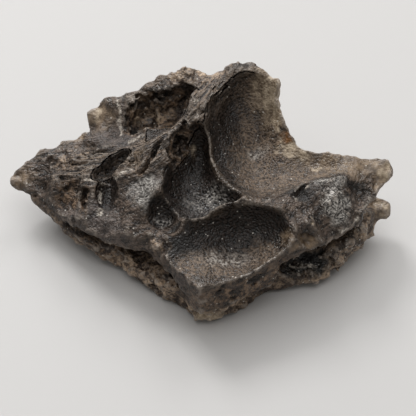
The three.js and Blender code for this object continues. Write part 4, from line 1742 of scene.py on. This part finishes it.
@dataclass(frozen=True)
class ImpactGlass:
    """Dark natural glass: black and glossy in the bubbles, grey and dry outside, tan where thin.

    Args:
        skin: The outer skin.
        drawn: Streaks along the flow.
        ash: Dry grey skin.
        chalk_and_sheen: Pale grains, and the pale of the painted sheen.
        frost: Frosted skin.
        crust: Crust on the far edge.
        froth: The frothy base.
        earth: Earthy hollows.
        tan: Glass thin enough to glow.
        pale: The thinnest lips, lit by a painted glow, and a few painted glints.
        bubble: Walls of the clean bubbles.
        film: A dull film on those walls.
        light: Lit edges.
        amber: The amber spot.
        black: Black glass and deep shade.
        dust_and_glints: Specks of dust, and painted glints.
        worn_and_lit: Paler edges, partly worn and partly a painted edge highlight.
        index: Index of refraction.
    """

    skin: Tone = Tone((0.012, 0.008, 0.006), (0.150, 0.108, 0.081))
    drawn: Tone = Tone((0.014, 0.009, 0.007), (0.260, 0.196, 0.146))
    ash: Tone = Tone((0.030, 0.023, 0.020), (0.128, 0.103, 0.091))
    chalk_and_sheen: Tone = Tone((0.080, 0.070, 0.062), (0.480, 0.450, 0.410))
    frost: Tone = Tone((0.034, 0.027, 0.023), (0.560, 0.525, 0.480))
    crust: Tone = Tone((0.044, 0.027, 0.018), (0.560, 0.415, 0.292))
    froth: Tone = Tone((0.040, 0.025, 0.017), (0.300, 0.216, 0.148))
    earth: Tone = Tone((0.020, 0.012, 0.008), (0.280, 0.184, 0.116))
    tan: Tone = Tone((0.078, 0.053, 0.034), (0.245, 0.176, 0.114))
    pale: Tone = Tone((0.220, 0.160, 0.105), (0.640, 0.525, 0.385))
    bubble: Tone = Tone((0.002, 0.0014, 0.001), (0.030, 0.020, 0.015))
    film: Tone = Tone((0.034, 0.023, 0.016), (0.205, 0.146, 0.100))
    light: Tone = Tone((0.220, 0.180, 0.140), (0.780, 0.710, 0.620))
    amber: Point = (0.26, 0.12, 0.040)
    black: Point = (0.006, 0.005, 0.004)
    dust_and_glints: Point = (0.62, 0.58, 0.52)
    worn_and_lit: Point = (0.30, 0.255, 0.215)
    index: float = 1.46

    def _colour(self, sheet: GlassSheet) -> Socket:
        """Lays out the colour, from the outer skin to the dust and painted glints on it, with painted glow,
        shade, sheen and highlights between.

        Args:
            sheet: The glass's sheet.

        Returns:
            The colour.
        """
        bubble, ash, tan, gloss_and_painted_shade, frost, streaky = (
            sheet.trait(name) for name in ("bubble", "ash", "tan", "gloss_and_painted_shade", "frost", "streaky")
        )
        crust, pale, amber, chalk_and_sheen, glint = (
            sheet.trait(name) for name in ("crust", "pale", "amber", "chalk_and_sheen", "glint")
        )
        earth = sheet.math("MAXIMUM", sheet.trait("earth"), sheet.times(sheet.trait("ragged"), 0.8))
        blotch = sheet.noise(4.0, 5.0, 0.62)
        mottle = sheet.mottle
        drawn = sheet.blend((sheet.streak, 0.45), (sheet.rough, 0.55))
        rough_tone = sheet.remap(drawn, 0.40, 0.62)
        grains = sheet.blend(
            (sheet.trait("mound"), 0.18), (sheet.mottle, 0.20), (sheet.fine, 0.34), (sheet.speck, 0.28)
        )
        crust_tone = sheet.remap(grains, 0.39, 0.63)
        streak_tone = sheet.remap(sheet.blend((sheet.streak, 0.75), (sheet.speck, 0.25)), 0.41, 0.60)
        fine_tone = sheet.remap(sheet.blend((sheet.fine, 0.35), (sheet.speck, 0.65)), 0.34, 0.68)
        soft = sheet.blend((sheet.mottle, 0.6), (sheet.fine, 0.3), (sheet.speck, 0.1))
        soft_tone = sheet.remap(soft, 0.36, 0.64)

        skin = sheet.tone(rough_tone, self.skin)
        skin = sheet.mix(streaky, skin, sheet.tone(streak_tone, self.drawn))
        skin = sheet.mix(sheet.remap(blotch, 0.42, 0.62, 0.0, 0.4), skin, self.black)
        skin = sheet.mix(sheet.times(ash, 0.8), skin, sheet.tone(rough_tone, self.ash))
        skin = sheet.mix(sheet.trait("froth"), skin, sheet.tone(crust_tone, self.froth))
        skin = sheet.mix(sheet.times(earth, 0.9), skin, sheet.tone(crust_tone, self.earth))
        skin = sheet.mix(crust, skin, sheet.tone(crust_tone, self.crust))
        # pale grey grains; beside the left bowl partly a painted grey reflection
        skin = sheet.mix(chalk_and_sheen, skin, sheet.tone(fine_tone, self.chalk_and_sheen))
        crackle = sheet.remap(sheet.cracks(1.05), 0.0, 0.09)
        crackle = sheet.times(crackle, sheet.remap(sheet.rough, 0.40, 0.56, 0.30, 1.0))
        skin = sheet.mix(frost, skin, sheet.tone(crackle, self.frost))

        inner = sheet.tone(fine_tone, self.bubble)
        film = sheet.times(sheet.trait("film"), sheet.remap(mottle, 0.30, 0.55, 0.45, 1.0))
        inner = sheet.mix(film, inner, sheet.tone(fine_tone, self.film))
        clean = sheet.math("SUBTRACT", bubble, sheet.times(streaky, 0.25))
        skin = sheet.mix(clean, skin, inner)
        # painted sheen: pale grainy highlights on the bubbles' floors and in the eye
        painted_sheen = sheet.times(sheet.trait("painted_sheen"), sheet.remap(sheet.rough, 0.42, 0.56, 0.0, 0.75))
        skin = sheet.mix(painted_sheen, skin, sheet.tone(fine_tone, self.chalk_and_sheen))
        # painted shade: the cave's glass made black
        skin = sheet.mix(gloss_and_painted_shade, skin, self.black)

        # light comes through where the glass is thin
        thin = sheet.remap(sheet.trait("thin"), 0.40, 0.18)
        glow = sheet.times(thin, sheet.remap(blotch, 0.30, 0.60, 0.0, 0.4))
        # painted shade in the creases between the ragged walls' lumps, with no glow there
        creases = sheet.times(sheet.trait("ragged"), sheet.remap(sheet.trait("mound"), 0.72, 0.40))
        lit = sheet.times(tan, sheet.remap(mottle, 0.30, 0.60, 0.80, 1.0))
        lit = sheet.math("SUBTRACT", sheet.math("MAXIMUM", glow, lit), creases)
        skin = sheet.mix(lit, skin, sheet.tone(soft_tone, self.tan))
        skin = sheet.mix(sheet.math("SUBTRACT", pale, creases), skin, sheet.tone(soft_tone, self.pale))
        # painted shade in those creases
        skin = sheet.mix(sheet.times(creases, 0.3), skin, self.black)
        skin = sheet.mix(amber, skin, self.amber)
        # painted shade from the shade patches, then painted shadow lines
        skin = sheet.mix(sheet.times(sheet.trait("shade"), 0.85), skin, self.black)
        skin = sheet.mix(sheet.times(sheet.trait("painted_shadow_line"), 0.85), skin, self.black)
        # painted highlights along edges, ridge lines, the flute and the cave
        lit = sheet.times(sheet.trait("light_line"), sheet.remap(sheet.fine, 0.34, 0.50, 0.25, 0.9))
        skin = sheet.mix(lit, skin, sheet.tone(fine_tone, self.light))

        # painted shade in the folds, paler edges that are partly wear and partly painted highlight, specks of
        # dust, and painted glints
        cavity = sheet.trait("cavity")
        skin = sheet.mix(sheet.remap(cavity, 0.54, 0.80, 0.0, 0.4), skin, self.black)
        worn_and_lit = sheet.times(sheet.remap(sheet.trait("edge"), 0.46, 0.34), sheet.remap(mottle, 0.36, 0.56))
        skin = sheet.mix(sheet.times(worn_and_lit, 0.7), skin, self.worn_and_lit)
        specks = sheet.remap(sheet.cells(0.9), 0.17, 0.07)
        chosen = sheet.remap(sheet.noise(1.7, 1.0), 0.50, 0.58)
        specks = sheet.times(specks, chosen)
        # painted glints in the glint patches, mixed in with the specks of dust
        sparks = sheet.times(sheet.remap(sheet.cells(0.6), 0.26, 0.16), glint)
        skin = sheet.mix(sheet.times(sheet.math("MAXIMUM", specks, sparks), 0.85), skin, self.dust_and_glints)
        # painted shade, deepest in the hollows
        shade = sheet.remap(sheet.trait("hollow"), 0.55, 0.80, 0.0, 0.30)
        return sheet.mix(shade, skin, self.black)

    def material(self) -> bpy.types.Material:
        """Builds the glass.

        Returns:
            The material.
        """
        sheet = GlassSheet("impact_glass")
        sheet.finish("Base Color", self._colour(sheet))
        bubble, ash, gloss_and_painted_shade = (sheet.trait(name) for name in ("bubble", "ash", "gloss_and_painted_shade"))
        rough = sheet.remap(sheet.rough, 0.42, 0.60, 0.28, 0.54)
        smooth = sheet.math("MAXIMUM", sheet.times(bubble, 0.3), gloss_and_painted_shade)
        rough = sheet.math("SUBTRACT", rough, sheet.times(smooth, 0.14))
        dull = sheet.math("MAXIMUM", sheet.trait("shade"), sheet.times(sheet.trait("film"), 0.4))
        rough = sheet.math("ADD", rough, sheet.times(ash, 0.12))
        rough = sheet.math("ADD", rough, sheet.times(dull, 0.25))
        sheet.finish("Roughness", rough)
        sheet.shader.inputs["IOR"].default_value = self.index

        # relief finer than the mesh: strong on the skin, faint in the bubbles
        outer = sheet.remap(bubble, 0.0, 1.0, 1.0, 0.22)
        thin = sheet.math("MAXIMUM", sheet.trait("tan"), sheet.trait("pale"))
        outer = sheet.times(outer, sheet.remap(thin, 0.0, 1.0, 1.0, 0.35))
        streaky = sheet.trait("streaky")
        relief = sheet.bump(sheet.times(sheet.rough, outer), 1.1)
        streak = sheet.times(sheet.streak, sheet.times(streaky, outer))
        relief = sheet.bump(streak, 1.2, relief)
        crackle = sheet.times(sheet.remap(sheet.cracks(1.05), 0.0, 0.12), sheet.trait("crackled"))
        relief = sheet.bump(crackle, 0.30, relief)
        grain = sheet.times(sheet.speck, sheet.times(bubble, 0.22))
        relief = sheet.bump(grain, 1.1, relief)
        sheet.finish("Normal", relief)
        return sheet.material


@dataclass(frozen=True)
class PaleTable:
    """A plain, matte, warm white table.

    Args:
        colour: Its colour.
        roughness: How matte it is.
    """

    colour: Point = (0.54, 0.53, 0.52)
    roughness: float = 0.6

    def material(self) -> bpy.types.Material:
        """Builds the table's paint.

        Returns:
            The material.
        """
        sheet = NodeSheet("pale_table")
        sheet.shader.inputs["Base Color"].default_value = (*self.colour, 1.0)
        sheet.shader.inputs["Roughness"].default_value = self.roughness
        return sheet.material


# ---------------------------------------------------------------- studio


@dataclass
class Studio:
    """The floor, the soft lights and the camera.

    Args:
        elevation: Camera's height above the horizon, in degrees.
        distance: Camera's distance from what it looks at, in metres.
        target: The point in the middle of the frame.
        lens: Focal length, in millimetres.
        half_table: Half the table's width, in metres.
    """

    elevation: float = 48.0
    distance: float = 0.260
    target: Point = (0.0, -0.002, 0.006)
    lens: float = 150.0
    half_table: float = 3.0

    def floor(self) -> bpy.types.Object:
        """Lays the table's top.

        Returns:
            The table.
        """
        half = self.half_table
        mesh = bpy.data.meshes.new("table_top")
        corners = [(-half, -half, 0.0), (half, -half, 0.0), (half, half, 0.0), (-half, half, 0.0)]
        mesh.from_pydata(corners, [], [(0, 1, 2, 3)])
        mesh.materials.append(PaleTable().material())
        table = put("table_top", mesh)
        return table

    def camera(self) -> None:
        """Places the camera in front of the stone and above it."""
        angle = math.radians(self.elevation)
        back = np.array([0.0, -math.cos(angle), math.sin(angle)])
        data = bpy.data.cameras.new("camera")
        data.lens = self.lens
        data.clip_start = 0.01
        data.clip_end = 20.0
        camera = put("camera", data)
        camera.location = np.array(self.target) + back * self.distance
        camera.rotation_euler = (math.pi / 2 - angle, 0.0, 0.0)
        bpy.context.scene.camera = camera

    def _lamp(self, name: str, at: Point, size: float, watts: float) -> None:
        """Hangs a square soft box that faces the stone.

        Args:
            name: Its name.
            at: Its place, in metres.
            size: Its side, in metres.
            watts: Its power.
        """
        data = bpy.data.lights.new(name, "AREA")
        data.size = size
        data.energy = watts
        lamp = put(name, data)
        lamp.location = at
        aim = np.array(self.target) - np.array(at)
        lamp.rotation_euler = (
            math.atan2(math.hypot(aim[0], aim[1]), -aim[2]),
            0.0,
            math.atan2(aim[0], -aim[1]) + math.pi,
        )

    def lights(self) -> None:
        """Hangs the lamps and sets the pale room's own glow."""
        self._lamp("window", (-0.42, 0.86, 0.80), 0.38, 8.0)
        self._lamp("far_window", (0.30, 0.95, 0.80), 0.42, 3.0)
        self._lamp("low_window", (-0.25, 1.15, 0.36), 0.60, 3.0)
        self._lamp("ceiling", (0.0, 0.30, 1.25), 1.8, 13.5)
        world = bpy.data.worlds.new("pale_room")
        world.use_nodes = True
        background = world.node_tree.nodes["Background"]
        background.inputs["Color"].default_value = (1.0, 0.985, 0.96, 1.0)
        background.inputs["Strength"].default_value = 0.26
        bpy.context.scene.world = world
        bpy.context.scene.view_settings.view_transform = "Standard"


# ---------------------------------------------------------------- main


def main() -> None:
    """Builds the studio and the stone."""
    logging.basicConfig(level=logging.INFO, format="%(name)s: %(message)s")
    studio = Studio()
    studio.camera()
    studio.floor()
    studio.lights()
    LOG.info("studio: table, lamps and camera")
    glass = ImpactGlass().material()
    stone = Stone(FINE_STEP)
    body = stone.build(glass)
    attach(body, "root")
    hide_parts(STONE_NODE)


if __name__ == "__main__":
    main()
